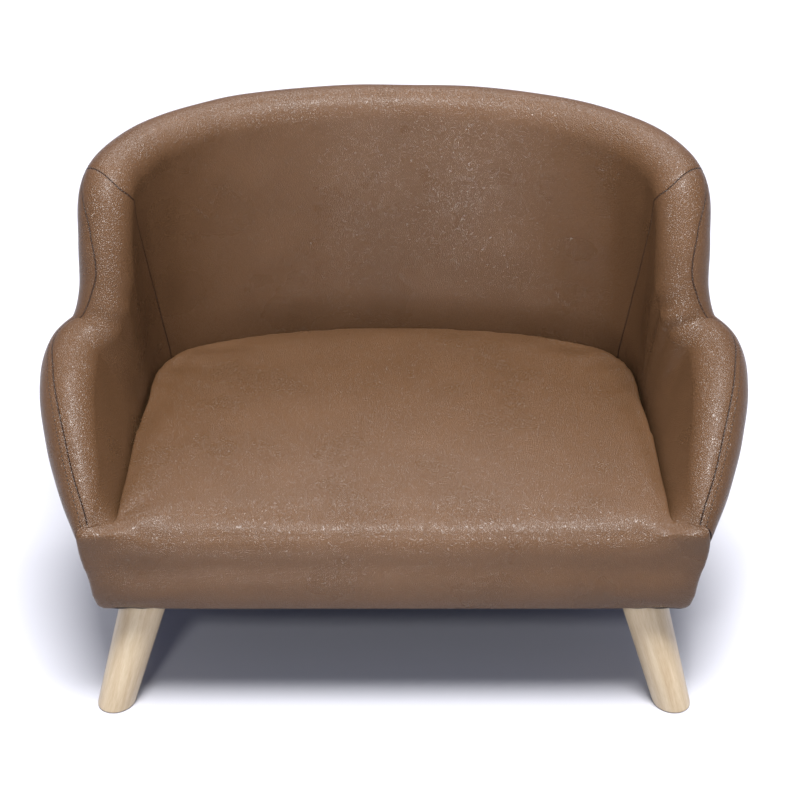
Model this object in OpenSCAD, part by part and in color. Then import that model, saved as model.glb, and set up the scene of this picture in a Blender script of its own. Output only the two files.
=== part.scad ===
// Small upholstered sofa for a dog: a wrap-around padded back that steps down into two flared arms,
// a fixed padded seat with a rolled front, and four splayed wooden legs under a hidden timber frame.
// Origin: middle of the bounding box on the floor. +X is the sitter's left to right across the width,
// the open front faces -Y, and +Z is up. Sizes are millimetres.

/* [Overall] */
// Height of the top of the back above the floor
overall_h = 472; // [450:2:500]
// Half of the width over the two arms
half_w = 352; // [344:1:362]
// Height of the top of the arms above the floor
arm_top_h = 322; // [310:1:330]
// Distance from the middle of the frame to the front face of the seat
front_reach = 240; // [236:1:244]

/* [Seat box] */
// Height of the underside of the seat box, which the legs carry
box_z = 118; // [100:1:130]
// Half of the width of the side walls of the box, to the middle of the wall
box_half_w = 280; // [276:1:284]
// Height of the top of the seat above the floor
seat_top_z = 214; // [210:1:220]
// Radius of the rolled front edge of the seat
seat_roll_r = 30; // [20:1:36]

/* [Walls] */
// Half thickness of the padded wall at the seat box
wall_half = 19; // [18:1:22]
// Radius of the padded roll along the top of the back
roll_r = 30; // [28:1:32]
// Thickness of the curved plywood boards
board_t = 9; // [7:0.5:10]
// Thickness of the covering with its backing cloth
cover_t = 1.5; // [1:0.1:1.8]

/* [Legs] */
// Diameter of a leg where it meets the box
leg_top_d = 46; // [40:1:48]
// Diameter of a leg at the floor
leg_foot_d = 36; // [30:1:38]
// How far each foot stands out from the top of its leg, both across the width and along the depth
leg_splay = 36; // [24:1:38]

/* [Timber] */
// Thickness of the frame rails
rail_t = 18; // [15:1:20]
// Thickness of the plywood seat deck
deck_t = 9; // [6:1:12]
// Width of the square corner blocks
block_w = 62; // [58:1:66]
// Height of the corner blocks
block_h = 30; // [26:1:36]

/* [Hardware] */
// Diameter of the leg bolts
bolt_d = 8; // [6:1:8]
// Diameter of the wood screws
screw_d = 4; // [3:0.5:5]

/* [Hidden] */

clear = 0.2;
seam_gap = 0.01;
batten_t = 10;
batten_half = 0.5;
leather = "saddlebrown";
timber = "burlywood";
ply = "tan";
foam = "khaki";
steel = "silver";

// Places along the wall: 0 is the middle of the back, SEAM the seam between back and side,
// LAST the front end of an arm. Negative places are on the left.
SEAM = 5;
LAST = 13;
BOARD_END = 12;

// The wall stands upright from the bottom of the box to the shoulder, bends over a soft stretch,
// then leans out to the roll
soft = 0.3;
shoulder_z = box_z + 72;
rail_z = box_z + 1.5;
deck_z = rail_z + 52.5;
deck_top = deck_z + deck_t;
board_in = 4;
board_out = board_in + board_t;
back_z = overall_h - roll_r;
arm_x = half_w - roll_r;
arm_z = arm_top_h - roll_r;
rear_y = 218;
end_y = -222;

// Middle of the padded roll from the centre of the back round to the front of one arm: x, y, z,
// radius, and the angle outwards from its crest at which the inside and outside coverings are sewn
roll_line = [
    [0, rear_y, back_z, roll_r, 55],
    [90, rear_y - 4, back_z - 1, roll_r, 55],
    [178, rear_y - 30, back_z - 2, roll_r, 55],
    [244, rear_y - 75, back_z - 4, roll_r, 55],
    [278, rear_y - 123, back_z - 8, roll_r, 55],
    [290, 58, back_z - 18, roll_r - 1, 48],
    [291, 28, back_z - 54, roll_r - 2, 18],
    [291, 6, arm_z + 50, roll_r - 2, 6],
    [300, -13, arm_z + 15, roll_r - 1, 4],
    [arm_x - 2, -37, arm_z + 1, roll_r, 14],
    [arm_x, -78, arm_z - 14, roll_r, -1],
    [arm_x - 8, -128, arm_z - 41, roll_r - 3, -13],
    [arm_x - 21, -178, arm_z - 69, roll_r - 8, -22],
    [arm_x - 32, end_y, arm_z - 95, roll_r - 18, -77]
];

// Middle of the wall at the seat box, at the same places: x, y
box_line = [
    [0, 168],
    [85, 164],
    [box_half_w - 115, 151],
    [box_half_w - 51, 130],
    [box_half_w - 18, 100],
    [box_half_w - 4, 68],
    [box_half_w, 40],
    [box_half_w, 16],
    [box_half_w, -8],
    [box_half_w, -40],
    [box_half_w, -84],
    [box_half_w, -132],
    [box_half_w, -182],
    [box_half_w - 9, end_y]
];

// A smooth curve through a list of points, mirrored about x = 0 for negative places
function flip(p) = [for (i = [0 : len(p) - 1]) i == 0 ? -p[0] : p[i]];
function knot(list, i) =
    i < 0 ? flip(list[-i]) :
    i < len(list) ? list[i] :
    2 * list[len(list) - 1] - list[2 * len(list) - 2 - i];
function blend(a, b, c, d, f) =
    (2 * b + (c - a) * f + (2 * a - 5 * b + 4 * c - d) * f * f + (3 * b - a - 3 * c + d) * f * f * f) / 2;
function piece(list, i, f) =
    blend(knot(list, i - 1), knot(list, i), knot(list, i + 1), knot(list, i + 2), f);
function on_half(list, s) =
    let (i = min(floor(s), len(list) - 2))
    piece(list, i, s - i);
function along(list, s) = s < 0 ? flip(on_half(list, -s)) : on_half(list, s);

// A point on the middle surface of the wall. Height t is 1 at the roll, 0 at the shoulder and
// -1 at the bottom of the box.
function low(s) = let (b = along(box_line, s)) [b[0], b[1], shoulder_z];
function high(s) = let (r = along(roll_line, s)) [r[0], r[1], r[2]];
function lean(t) = t < -soft ? 0 : t > soft ? t : (t + soft) * (t + soft) / (4 * soft);
function level(s, t) = t < 0 ? t * (shoulder_z - box_z) : t * (high(s)[2] - shoulder_z);
function middle(s, t) =
    let (a = low(s), b = high(s))
    [a[0] + lean(t) * (b[0] - a[0]), a[1] + lean(t) * (b[1] - a[1]), a[2] + level(s, t)];

function unit(v) = v / norm(v);
step = 0.05;
function run(s, t) = middle(min(s + step, LAST), t) - middle(max(s - step, -LAST), t);
function rise(s, t) = middle(s, t) - middle(s, t - 0.01);

// Outward direction square to the wall, and the direction that leaves the wall across its top edge
function outward(s, t) = unit(cross(rise(s, t), run(s, t)));
function upward(s) = unit(cross(run(s, 1), outward(s, 1)));

// Half thickness of the padded wall, and a point at a signed distance outside the middle surface
function radius_at(s) = along(roll_line, s)[3];
function half_at(s, t) = wall_half + (radius_at(s) - wall_half) * max(t, 0);
function off(s, t, d) = middle(s, t) + d * outward(s, t);

// Section of the padded wall: up the inside, over the roll and down the outside, pulled in by d
function inside_line(s, rows, d) = [for (t = rows) off(s, t, d - half_at(s, t))];
function roll_arc(s, a0, a1, steps, d) =
    [for (i = [0 : steps])
        let (a = a0 + (a1 - a0) * i / steps, r = radius_at(s) - d)
        high(s) + r * (sin(a) * outward(s, 1) + cos(a) * upward(s))];
function outside_line(s, rows, d) =
    [for (i = [len(rows) - 1 : -1 : 0]) off(s, rows[i], half_at(s, rows[i]) - d)];
function seam_at(s) = along(roll_line, s)[4];

// A closed solid between two grids of points that have the same numbers of rows and columns, kept
// behind the seat front
module between(outer, inner) {
    n = len(outer);
    m = len(outer[0]);
    k = n * m;
    points = [for (row = concat(outer, inner)) each [for (p = row) [p[0], max(p[1], end_y), p[2]]]];
    skin = [for (i = [0 : n - 2]) for (j = [0 : m - 2]) each [
        [i * m + j, i * m + j + 1, (i + 1) * m + j + 1],
        [i * m + j, (i + 1) * m + j + 1, (i + 1) * m + j]]];
    back = [for (f = skin) [f[2] + k, f[1] + k, f[0] + k]];
    rows = [for (i = [0 : n - 2]) each [
        [i * m, (i + 1) * m, k + (i + 1) * m], [i * m, k + (i + 1) * m, k + i * m],
        [k + i * m + m - 1, k + (i + 1) * m + m - 1, (i + 1) * m + m - 1],
        [k + i * m + m - 1, (i + 1) * m + m - 1, i * m + m - 1]]];
    ends = [for (j = [0 : m - 2]) each [
        [k + j, k + j + 1, j + 1], [k + j, j + 1, j],
        [(n - 1) * m + j, (n - 1) * m + j + 1, k + (n - 1) * m + j + 1],
        [(n - 1) * m + j, k + (n - 1) * m + j + 1, k + (n - 1) * m + j]]];
    polyhedron(points = points, faces = concat(skin, back, rows, ends));
}

// Places from one end of a panel to the other
function places(a, b, count) = [for (i = [0 : count]) a + (b - a) * i / count];

// The left-hand twin of a right-hand piece
module left() {
    mirror([1, 0, 0])
        children();
}

// ---- Covering of the wall ----

deck_row = (deck_top + clear - shoulder_z) / (shoulder_z - box_z);
inside_rows = [deck_row, 0.05, 0.2, 0.4, 0.6, 0.8];
outside_rows = [-1, -0.35, 0, 0.2, 0.45, 0.75];

module inside_cover(list) {
    outer = [for (s = list) concat(
        inside_line(s, inside_rows, 0), roll_arc(s, -90, seam_at(s), 8, 0))];
    inner = [for (s = list) concat(
        inside_line(s, inside_rows, cover_t), roll_arc(s, -90, seam_at(s), 8, cover_t))];
    color(leather)
        between(outer, inner);
}

module outside_cover(list) {
    outer = [for (s = list) concat(
        roll_arc(s, seam_at(s) + 1, 90, 5, 0), outside_line(s, outside_rows, 0))];
    inner = [for (s = list) concat(
        roll_arc(s, seam_at(s) + 1, 90, 5, cover_t), outside_line(s, outside_rows, cover_t))];
    color(leather)
        between(outer, inner);
}

back_places = places(-SEAM + seam_gap, SEAM - seam_gap, 24);
side_places = places(SEAM + seam_gap, LAST, 24);

module inside_back_cover() inside_cover(back_places);
module outside_back_cover() outside_cover(back_places);
module inside_cover_right() inside_cover(side_places);
module outside_cover_right() outside_cover(side_places);

// ---- Foam of the wall: it fills the inside, wraps over the roll and backs the outside ----

board_top = 0.94;
slot_top = 0.955;
foam_low = -0.97;
kerf = 1;

function near_seam(s) = abs(abs(s) - SEAM) < batten_half + 0.05;
function past_board(s) = max(0, (abs(s) - BOARD_END) / (LAST - BOARD_END));
function slot_out(s, t) = min(board_out + clear, half_at(s, t) - 3.5);
function slot_in(s, t) =
    past_board(s) > 0 ? slot_out(s, t) - kerf - (board_t - kerf) * (1 - past_board(s)) :
    near_seam(s) ? board_in - batten_t - 2 * clear :
    board_in - clear;

function slot_line(s, steps) = concat(
    [for (t = inside_rows) off(s, t, slot_in(s, t))],
    [for (i = [0 : steps]) let (f = i / steps)
        off(s, slot_top, (1 - f) * slot_in(s, 1) + f * slot_out(s, 1))],
    [for (i = [len(outside_rows) - 1 : -1 : 0])
        let (t = max(outside_rows[i], foam_low)) off(s, t, slot_out(s, t))]);

module wall_foam(list) {
    d = cover_t + clear;
    steps = 8;
    rows = [for (t = outside_rows) max(t, foam_low)];
    outer = [for (s = list) concat(
        inside_line(s, inside_rows, d), roll_arc(s, -90, 90, steps, d), outside_line(s, rows, d))];
    inner = [for (s = list) slot_line(s, steps)];
    color(foam)
        between(outer, inner);
}

module back_foam() wall_foam(back_places);
module side_foam_right() wall_foam(side_places);

// ---- Curved boards and the battens that join them ----

board_rows = [-0.97, -0.35, 0, 0.2, 0.45, 0.75, board_top];

module curved_board(list) {
    outer = [for (s = list) [for (t = board_rows) off(s, t, board_out)]];
    inner = [for (s = list) [for (t = board_rows) off(s, t, board_in)]];
    color(ply)
        difference() {
            between(outer, inner);
            board_screws_shape(screw_fit);
        }
}

module back_board() curved_board(places(-SEAM + seam_gap, SEAM - seam_gap, 20));
module side_board_right() curved_board(places(SEAM + seam_gap, BOARD_END, 14));

module corner_batten_right() {
    list = places(SEAM - batten_half, SEAM + batten_half, 4);
    rows = [deck_row, 0, 0.2, 0.45, 0.75];
    outer = [for (s = list) [for (t = rows) off(s, t, board_in - clear)]];
    inner = [for (s = list) [for (t = rows) off(s, t, board_in - batten_t)]];
    color(timber)
        between(outer, inner);
}

// ---- Timber frame of the seat box ----

// Outline of the box at a signed distance outside the middle of its wall, closed by a straight front
function plan(d, last, count) =
    [for (s = places(-last, last, count)) let (p = off(s, 0, d)) [p[0], p[1]]];

module box_prism(d, z, h) {
    outline = plan(d, BOARD_END, 60);
    corner_x = outline[60][0] - 18;
    translate([0, 0, z])
        linear_extrude(h)
            polygon(concat(outline, [[corner_x, end_y + clear], [-corner_x, end_y + clear]]));
}

rail_h = deck_z - rail_z;
side_rail_x = box_half_w + board_in - clear - rail_t;
front_rail_y = end_y + clear;
front_inner_y = front_rail_y + rail_t;
side_rail_end = 40;
rear_rail_end = 3.2;

module front_rail() {
    length = 2 * (side_rail_x - clear);
    color(timber)
        difference() {
            translate([-length / 2, front_rail_y, rail_z])
                cube([length, rail_t, rail_h]);
            frame_screws_shape(screw_fit);
            deck_screws_shape(screw_fit);
        }
}

module side_rail_right() {
    color(timber)
        difference() {
            translate([side_rail_x, front_rail_y, rail_z])
                cube([rail_t, side_rail_end - front_rail_y, rail_h]);
            frame_screws_shape(screw_fit);
            deck_screws_shape(screw_fit);
            board_screws_shape(screw_fit);
        }
}

module rear_rail() {
    outer = plan(board_in - clear, rear_rail_end, 24);
    inner = plan(board_in - clear - rail_t, rear_rail_end, 24);
    color(timber)
        difference() {
            translate([0, 0, rail_z])
                linear_extrude(rail_h)
                    polygon(concat(outer, [for (i = [len(inner) - 1 : -1 : 0]) inner[i]]));
            deck_screws_shape(screw_fit);
            board_screws_shape(screw_fit);
        }
}

// Clear space inside the rails, where the blocks and the slats fit
inner_offset = board_in - rail_t - 3 * clear;

module corner_block(x, y0, y1) {
    color(timber)
        difference() {
            intersection() {
                box_prism(inner_offset, rail_z, block_h);
                translate([x, y0, rail_z])
                    cube([side_rail_x - clear - x, y1 - y0, block_h]);
            }
            leg_sockets();
            frame_screws_shape(screw_fit);
        }
}

block_x = side_rail_x - block_w;

module corner_block_front_right() corner_block(block_x, front_inner_y + clear, front_inner_y + block_w);
module corner_block_rear_right() corner_block(block_x - 24, side_rail_end - 20, side_rail_end + 90);

slat_w = 44;
slat_gap = 150;

module cross_slat(x) {
    color(timber)
        intersection() {
            box_prism(inner_offset, rail_z, rail_h);
            translate([x - slat_w / 2, front_inner_y + clear, deck_z - rail_t])
                cube([slat_w, half_w, rail_t - clear]);
        }
}

module seat_deck() {
    color(ply)
        difference() {
            box_prism(board_in - clear, deck_z, deck_t);
            deck_screws_shape(screw_fit);
        }
}

// ---- Screws ----

screw_fit = 0.05;
screw_head_d = 2 * screw_d;
screw_head_h = 0.6 * screw_d;

// A countersunk screw whose head is flush at the origin and whose point is down -Z
module screw(length, grow) {
    $fn = 24;
    translate([0, 0, -screw_head_h])
        cylinder(h = screw_head_h, d1 = screw_d + 2 * grow, d2 = screw_head_d + 2 * grow);
    translate([0, 0, -length - grow])
        cylinder(h = length - screw_head_h + grow, d = screw_d + 2 * grow);
}

// Turns a screw so that it is driven along a direction
module driven(point, direction) {
    translate(point)
        rotate([0, acos(-direction[2]), atan2(-direction[1], -direction[0])])
            children();
}

deck_screw_len = 32;
frame_screw_len = 42;
board_screw_len = 24;
front_screw_y = front_rail_y + rail_t / 2;
side_screw_x = side_rail_x + rail_t / 2;
rear_screw_y = 150;
low_screw_z = rail_z + block_h / 2;

module deck_screws_shape(grow) {
    for (x = [-slat_gap, 0, slat_gap])
        driven([x, front_screw_y, deck_top], [0, 0, -1])
            screw(deck_screw_len, grow);
    for (side = [-1, 1]) {
        for (y = [-100, -20])
            driven([side * side_screw_x, y, deck_top], [0, 0, -1])
                screw(deck_screw_len, grow);
        driven([side * 90, rear_screw_y + 7, deck_top], [0, 0, -1])
            screw(deck_screw_len, grow);
    }
}

module frame_screws_shape(grow) {
    start = side_rail_x + rail_t;
    for (side = [-1, 1]) {
        for (z = [rail_z + 14, rail_z + 40])
            driven([side * start, front_screw_y, z], [-side, 0, 0])
                screw(frame_screw_len, grow);
        for (y = [front_inner_y + 48, side_rail_end - 10])
            driven([side * start, y, low_screw_z], [-side, 0, 0])
                screw(frame_screw_len, grow);
    }
}

board_screw_t = -0.5;
board_screw_places = [-11.2, -9.4, -7, -2, -0.7, 0.7, 2, 7, 9.4, 11.2];

module board_screws_shape(grow) {
    for (s = board_screw_places)
        driven(off(s, board_screw_t, board_out), -outward(s, board_screw_t))
            screw(board_screw_len, grow);
}

module deck_screws() color(steel) deck_screws_shape(0);
module frame_screws() color(steel) frame_screws_shape(0);
module board_screws() color(steel) board_screws_shape(0);

// ---- Legs, bolts and nuts ----

leg_top_x = side_rail_x - 22;
front_leg_y = front_inner_y + 10;
rear_leg_x = leg_top_x - 28;
rear_leg_y = 95;
dust_t = 0.9;
dust_z = rail_z - clear - dust_t;
leg_len = dust_z - clear;
tilt = atan(leg_splay * sqrt(2) / leg_len);
taper = (leg_top_d - leg_foot_d) / leg_len;
bolt_low = leg_len - 36;
bolt_high = rail_z + block_h - 1;
nut_h = 11;
nut_d = bolt_d + 2.6;
flange_d = 19;
flange_t = 1.5;
bolt_fit = 0.1;

// A turned tapered leg leaning towards a corner, with both ends cut level, under a point of the box
module leg(x, y, outward_y) {
    over = 30;
    color("wheat")
        difference() {
            intersection() {
                translate([x + leg_splay, y + outward_y * leg_splay, 0])
                    rotate([0, -tilt, outward_y * 45])
                        translate([0, 0, -over])
                            cylinder(h = leg_len / cos(tilt) + 2 * over, d1 = leg_foot_d - taper * over,
                                d2 = leg_top_d + taper * over, $fn = 64);
                translate([0, -half_w, 0])
                    cube([half_w, 2 * half_w, leg_len]);
            }
            translate([x, y, bolt_low])
                cylinder(h = leg_len, d = bolt_d + bolt_fit, $fn = 32);
        }
}

module leg_bolt(x, y) {
    color(steel)
        translate([x, y, bolt_low])
            cylinder(h = bolt_high - bolt_low, d = bolt_d, $fn = 32);
}

module tee_nut(x, y) {
    top = rail_z + block_h;
    color(steel)
        difference() {
            translate([x, y, 0])
                union() {
                    translate([0, 0, top - nut_h])
                        cylinder(h = nut_h + flange_t, d = nut_d, $fn = 32);
                    translate([0, 0, top])
                        cylinder(h = flange_t, d = flange_d, $fn = 32);
                }
            translate([x, y, 0])
                cylinder(h = overall_h, d = bolt_d + bolt_fit, $fn = 32);
        }
}

module leg_sockets() {
    for (p = [[leg_top_x, front_leg_y], [rear_leg_x, rear_leg_y]])
        translate([p[0], p[1], 0]) {
            translate([0, 0, box_z])
                cylinder(h = 2 * block_h, d = bolt_d + 1, $fn = 32);
            translate([0, 0, rail_z + block_h - nut_h])
                cylinder(h = block_h, d = nut_d + bolt_fit, $fn = 32);
        }
}

module leg_front_right() leg(leg_top_x, front_leg_y, -1);
module leg_rear_right() leg(rear_leg_x, rear_leg_y, 1);
module leg_bolt_front_right() leg_bolt(leg_top_x, front_leg_y);
module leg_bolt_rear_right() leg_bolt(rear_leg_x, rear_leg_y);
module tee_nut_front_right() tee_nut(leg_top_x, front_leg_y);
module tee_nut_rear_right() tee_nut(rear_leg_x, rear_leg_y);

// ---- Seat ----

front_half_w = box_half_w + 7;
front_edge_r = 8;
seat_gap = 2;

// Side view of the seat: upright front with a rounded bottom edge and a large roll into the top
module seat_profile(d, drop) {
    low_z = box_z - drop;
    low_r = drop > 0 ? 0.01 : front_edge_r;
    face = -front_reach + d;
    top = seat_top_z - d;
    r = seat_roll_r - d;
    points = concat(
        [for (a = [180 : 15 : 270]) [face + low_r + low_r * cos(a), low_z + low_r + low_r * sin(a)]],
        [[half_w, low_z], [half_w, top]],
        [for (a = [90 : 7.5 : 180]) [face + r + r * cos(a), top - r + r * sin(a)]]);
    rotate([90, 0, 90])
        linear_extrude(2 * half_w, center = true)
            polygon(points);
}

// The block between the arms, pulled in by d, and the full-width front below the arms
module seat_middle(d, z) {
    translate([0, 0, z])
        linear_extrude(overall_h - z)
            polygon(concat(plan(-wall_half - seat_gap - d, 12.8, 64),
                [[front_half_w - 40, end_y - 1], [40 - front_half_w, end_y - 1]]));
}

// Outline of the front seen from ahead, from the bottom corner up to the crest of the arm: x, z
front_edge = [
    [front_half_w, box_z],
    [front_half_w + 3, box_z + 36],
    [front_half_w + 8, box_z + 60],
    [front_half_w + 13, box_z + 72],
    [front_half_w + 14, box_z + 80],
    [front_half_w + 11, box_z + 88],
    [front_half_w + 4, seat_top_z - 3],
    [front_half_w - 6, seat_top_z]
];

module seat_front(d, reach) {
    half = [for (p = front_edge) [p[0] - d, p[1]]];
    outline = concat([[half[0][0], box_z - reach]], half);
    translate([0, end_y - clear + reach, 0])
        rotate([90, 0, 0])
            linear_extrude(front_reach + 1 + end_y - clear + reach)
                polygon(concat(outline, [for (i = [len(outline) - 1 : -1 : 0]) flip(outline[i])]));
}

module seat_mass(d, open) {
    intersection() {
        seat_profile(d, open);
        union() {
            seat_middle(d, deck_top + clear - open);
            seat_front(d, open);
        }
    }
}

module seat_cover() {
    color(leather)
        difference() {
            seat_mass(0, 0);
            seat_mass(cover_t, 4);
        }
}

module seat_foam() {
    d = cover_t + clear;
    color(foam)
        intersection() {
            seat_mass(d, 0);
            translate([-half_w, -half_w, deck_top + 2 * clear])
                cube([2 * half_w, 2 * half_w, overall_h]);
        }
}

module front_foam() {
    d = cover_t + clear;
    color(foam)
        intersection() {
            seat_mass(d, 0);
            translate([-half_w, -half_w, rail_z])
                cube([2 * half_w, half_w + end_y - clear, deck_top - rail_z]);
        }
}

// ---- Underside ----

module dust_cover() {
    rim = wall_half - cover_t - clear - 2;
    outline = plan(rim, LAST, 60);
    edge = -front_reach + cover_t + 4;
    color("dimgray")
        difference() {
            translate([0, 0, dust_z])
                linear_extrude(dust_t)
                    polygon(concat(outline, [[front_half_w - 4, edge], [4 - front_half_w, edge]]));
            for (side = [-1, 1])
                for (p = [[leg_top_x, front_leg_y], [rear_leg_x, rear_leg_y]])
                    translate([side * p[0], p[1], 0])
                        cylinder(h = overall_h, d = bolt_d + 1, $fn = 32);
        }
}

staple_w = 10;
staple_t = 0.8;

module staple(point, angle) {
    translate([point[0], point[1], dust_z - clear - staple_t])
        rotate([0, 0, angle])
            translate([-staple_w / 2, -staple_t / 2, 0])
                cube([staple_w, staple_t, staple_t]);
}

module dust_cover_staples() {
    color(steel) {
        for (s = places(-11.6, 11.6, 29)) {
            n = outward(s, 0);
            staple(off(s, 0, board_in + board_t / 2), atan2(n[1], n[0]) + 90);
        }
        for (x = places(-200, 200, 8))
            staple([x, front_screw_y, 0], 0);
    }
}

left() leg_front_right();  // leg_front_left
leg_front_right();
left() leg_rear_right();  // leg_rear_left
leg_rear_right();
left() leg_bolt_front_right();  // leg_bolt_front_left
leg_bolt_front_right();
left() leg_bolt_rear_right();  // leg_bolt_rear_left
leg_bolt_rear_right();
left() tee_nut_front_right();  // tee_nut_front_left
tee_nut_front_right();
left() tee_nut_rear_right();  // tee_nut_rear_left
tee_nut_rear_right();
left() corner_block_front_right();  // corner_block_front_left
corner_block_front_right();
left() corner_block_rear_right();  // corner_block_rear_left
corner_block_rear_right();
front_rail();
rear_rail();
left() side_rail_right();  // side_rail_left
side_rail_right();
cross_slat(-slat_gap);  // cross_slat_left
cross_slat(0);  // cross_slat_middle
cross_slat(slat_gap);  // cross_slat_right
seat_deck();
left() corner_batten_right();  // corner_batten_left
corner_batten_right();
back_board();
left() side_board_right();  // side_board_left
side_board_right();
back_foam();
left() side_foam_right();  // side_foam_left
side_foam_right();
seat_foam();
front_foam();
inside_back_cover();
left() inside_cover_right();  // inside_cover_left
inside_cover_right();
outside_back_cover();
left() outside_cover_right();  // outside_cover_left
outside_cover_right();
seat_cover();
dust_cover();
deck_screws();
frame_screws();
board_screws();
dust_cover_staples();
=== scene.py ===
"""A small upholstered sofa for a dog: padded wrap-around wall, rolled seat and turned wooden legs.

Lengths in the dataclasses are millimetres, as a workshop drawing gives them. Meshes are metres.
"""

import sys

import logging
import math
from contextlib import contextmanager
from dataclasses import dataclass, field
from enum import Enum
from typing import Any, Iterator, Sequence

import bpy
import numpy as np
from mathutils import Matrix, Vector
from mathutils.kdtree import KDTree

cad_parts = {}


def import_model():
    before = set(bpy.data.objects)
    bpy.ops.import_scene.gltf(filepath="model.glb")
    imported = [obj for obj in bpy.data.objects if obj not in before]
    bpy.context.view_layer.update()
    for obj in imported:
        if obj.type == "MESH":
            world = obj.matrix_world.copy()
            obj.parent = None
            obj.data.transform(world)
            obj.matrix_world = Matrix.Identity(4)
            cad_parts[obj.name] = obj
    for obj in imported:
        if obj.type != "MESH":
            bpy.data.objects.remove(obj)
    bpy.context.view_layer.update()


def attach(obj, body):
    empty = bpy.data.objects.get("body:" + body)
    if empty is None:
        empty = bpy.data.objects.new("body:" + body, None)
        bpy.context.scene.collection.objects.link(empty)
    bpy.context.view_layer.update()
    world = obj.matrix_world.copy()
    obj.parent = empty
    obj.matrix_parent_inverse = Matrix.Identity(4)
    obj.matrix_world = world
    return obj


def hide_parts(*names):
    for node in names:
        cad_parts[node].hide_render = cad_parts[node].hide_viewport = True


LOG = logging.getLogger("dog_sofa")
MM = 0.001


class Side(Enum):
    """The two mirrored sides of the sofa, by the sign of x."""

    LEFT = -1
    RIGHT = 1


class Face(Enum):
    """Which covering of the wall a panel belongs to."""

    INSIDE = "inside"
    OUTSIDE = "outside"


class Run(Enum):
    """The way the grain of a board runs, as the share of the pattern along x, y and z."""

    ACROSS = (0.06, 1.0, 1.0)
    ALONG = (1.0, 0.06, 1.0)
    UP = (1.0, 1.0, 0.06)


# ---- Small tools ----


def linear(code: str) -> tuple[float, float, float, float]:
    """Turns an sRGB hex colour into the linear one a shader works in.

    Args:
        code: the colour as #RRGGBB.

    Returns:
        Linear red, green, blue and an alpha of 1.
    """
    parts = [int(code[i : i + 2], 16) / 255 for i in (1, 3, 5)]
    out = [c / 12.92 if c <= 0.04045 else ((c + 0.055) / 1.055) ** 2.4 for c in parts]
    return (out[0], out[1], out[2], 1.0)


def add_node(
    tree: bpy.types.NodeTree,
    kind: str,
    settings: dict[str, Any] | None = None,
    values: dict[Any, Any] | None = None,
    links: dict[Any, bpy.types.NodeSocket] | None = None,
) -> bpy.types.Node:
    """Adds one shader node.

    Args:
        tree: the material's node tree.
        kind: the type of the node, without the ShaderNode before it.
        settings: attributes of the node itself.
        values: fixed values of its inputs.
        links: output sockets that feed its inputs.

    Returns:
        The new node.
    """
    node = tree.nodes.new("ShaderNode" + kind)
    for key, value in (settings or {}).items():
        setattr(node, key, value)
    for key, value in (values or {}).items():
        node.inputs[key].default_value = value
    for key, socket in (links or {}).items():
        tree.links.new(socket, node.inputs[key])
    return node


def new_material(name: str) -> tuple[bpy.types.Material, bpy.types.NodeTree, bpy.types.Node]:
    """Makes an empty material.

    Args:
        name: the finish's name.

    Returns:
        The material, its node tree and its Principled shader.
    """
    material = bpy.data.materials.new(name)
    material.use_nodes = True
    tree = material.node_tree
    tree.nodes.clear()
    shader = add_node(tree, "BsdfPrincipled")
    add_node(tree, "OutputMaterial", links={"Surface": shader.outputs["BSDF"]})
    return material, tree, shader


def alone(piece: bpy.types.Object) -> None:
    """Selects one object and nothing else."""
    bpy.ops.object.select_all(action="DESELECT")
    piece.select_set(True)
    bpy.context.view_layer.objects.active = piece


@contextmanager
def editing() -> Iterator[None]:
    """Opens the active object's mesh for editing, with all of it selected, and closes it."""
    bpy.ops.object.mode_set(mode="EDIT")
    bpy.ops.mesh.select_all(action="SELECT")
    yield
    bpy.ops.object.mode_set(mode="OBJECT")


def get_points(piece: bpy.types.Object) -> np.ndarray:
    """The mesh's vertices as an array of rows."""
    flat = np.empty(len(piece.data.vertices) * 3)
    piece.data.vertices.foreach_get("co", flat)
    return flat.reshape(-1, 3)


def set_points(piece: bpy.types.Object, points: np.ndarray) -> None:
    """Moves the mesh's vertices to the given rows."""
    piece.data.vertices.foreach_set("co", np.ascontiguousarray(points).reshape(-1))
    piece.data.update()


def apply_modifier(piece: bpy.types.Object, kind: str, **settings: Any) -> None:
    """Adds a modifier with its settings and applies it."""
    alone(piece)
    modifier = piece.modifiers.new(kind.title(), kind)
    for key, value in settings.items():
        setattr(modifier, key, value)
    bpy.ops.object.modifier_apply(modifier=modifier.name)


def dress(piece: bpy.types.Object, material: bpy.types.Material) -> None:
    """Gives a piece one finish all over."""
    piece.data.materials.clear()
    piece.data.materials.append(material)


def smooth_shade(piece: bpy.types.Object, degrees: float = 40) -> None:
    """Shades a piece smooth, but for edges sharper than the angle."""
    alone(piece)
    bpy.ops.object.shade_smooth_by_angle(angle=math.radians(degrees))


def unit(rows: np.ndarray) -> np.ndarray:
    """Each row at length 1."""
    return rows / np.maximum(np.linalg.norm(rows, axis=-1, keepdims=True), 1e-12)


def eased(share: np.ndarray) -> np.ndarray:
    """Eases a share from 0 to 1, level at both ends."""
    return share * share * (3 - 2 * share)


def place_on(piece: bpy.types.Object, slot: str, *nodes: str) -> None:
    """Seats a finished piece on the sofa.

    Args:
        piece: the piece.
        slot: the material slot of the record, named in the log when it stands for no solid.
        nodes: the solids that it stands for.
    """
    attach(piece, "root")
    if nodes:
        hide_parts(*nodes)
    stands_for = ", ".join(nodes) or slot
    LOG.info("%s: %d faces, for %s", piece.name, len(piece.data.polygons), stands_for)


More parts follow.
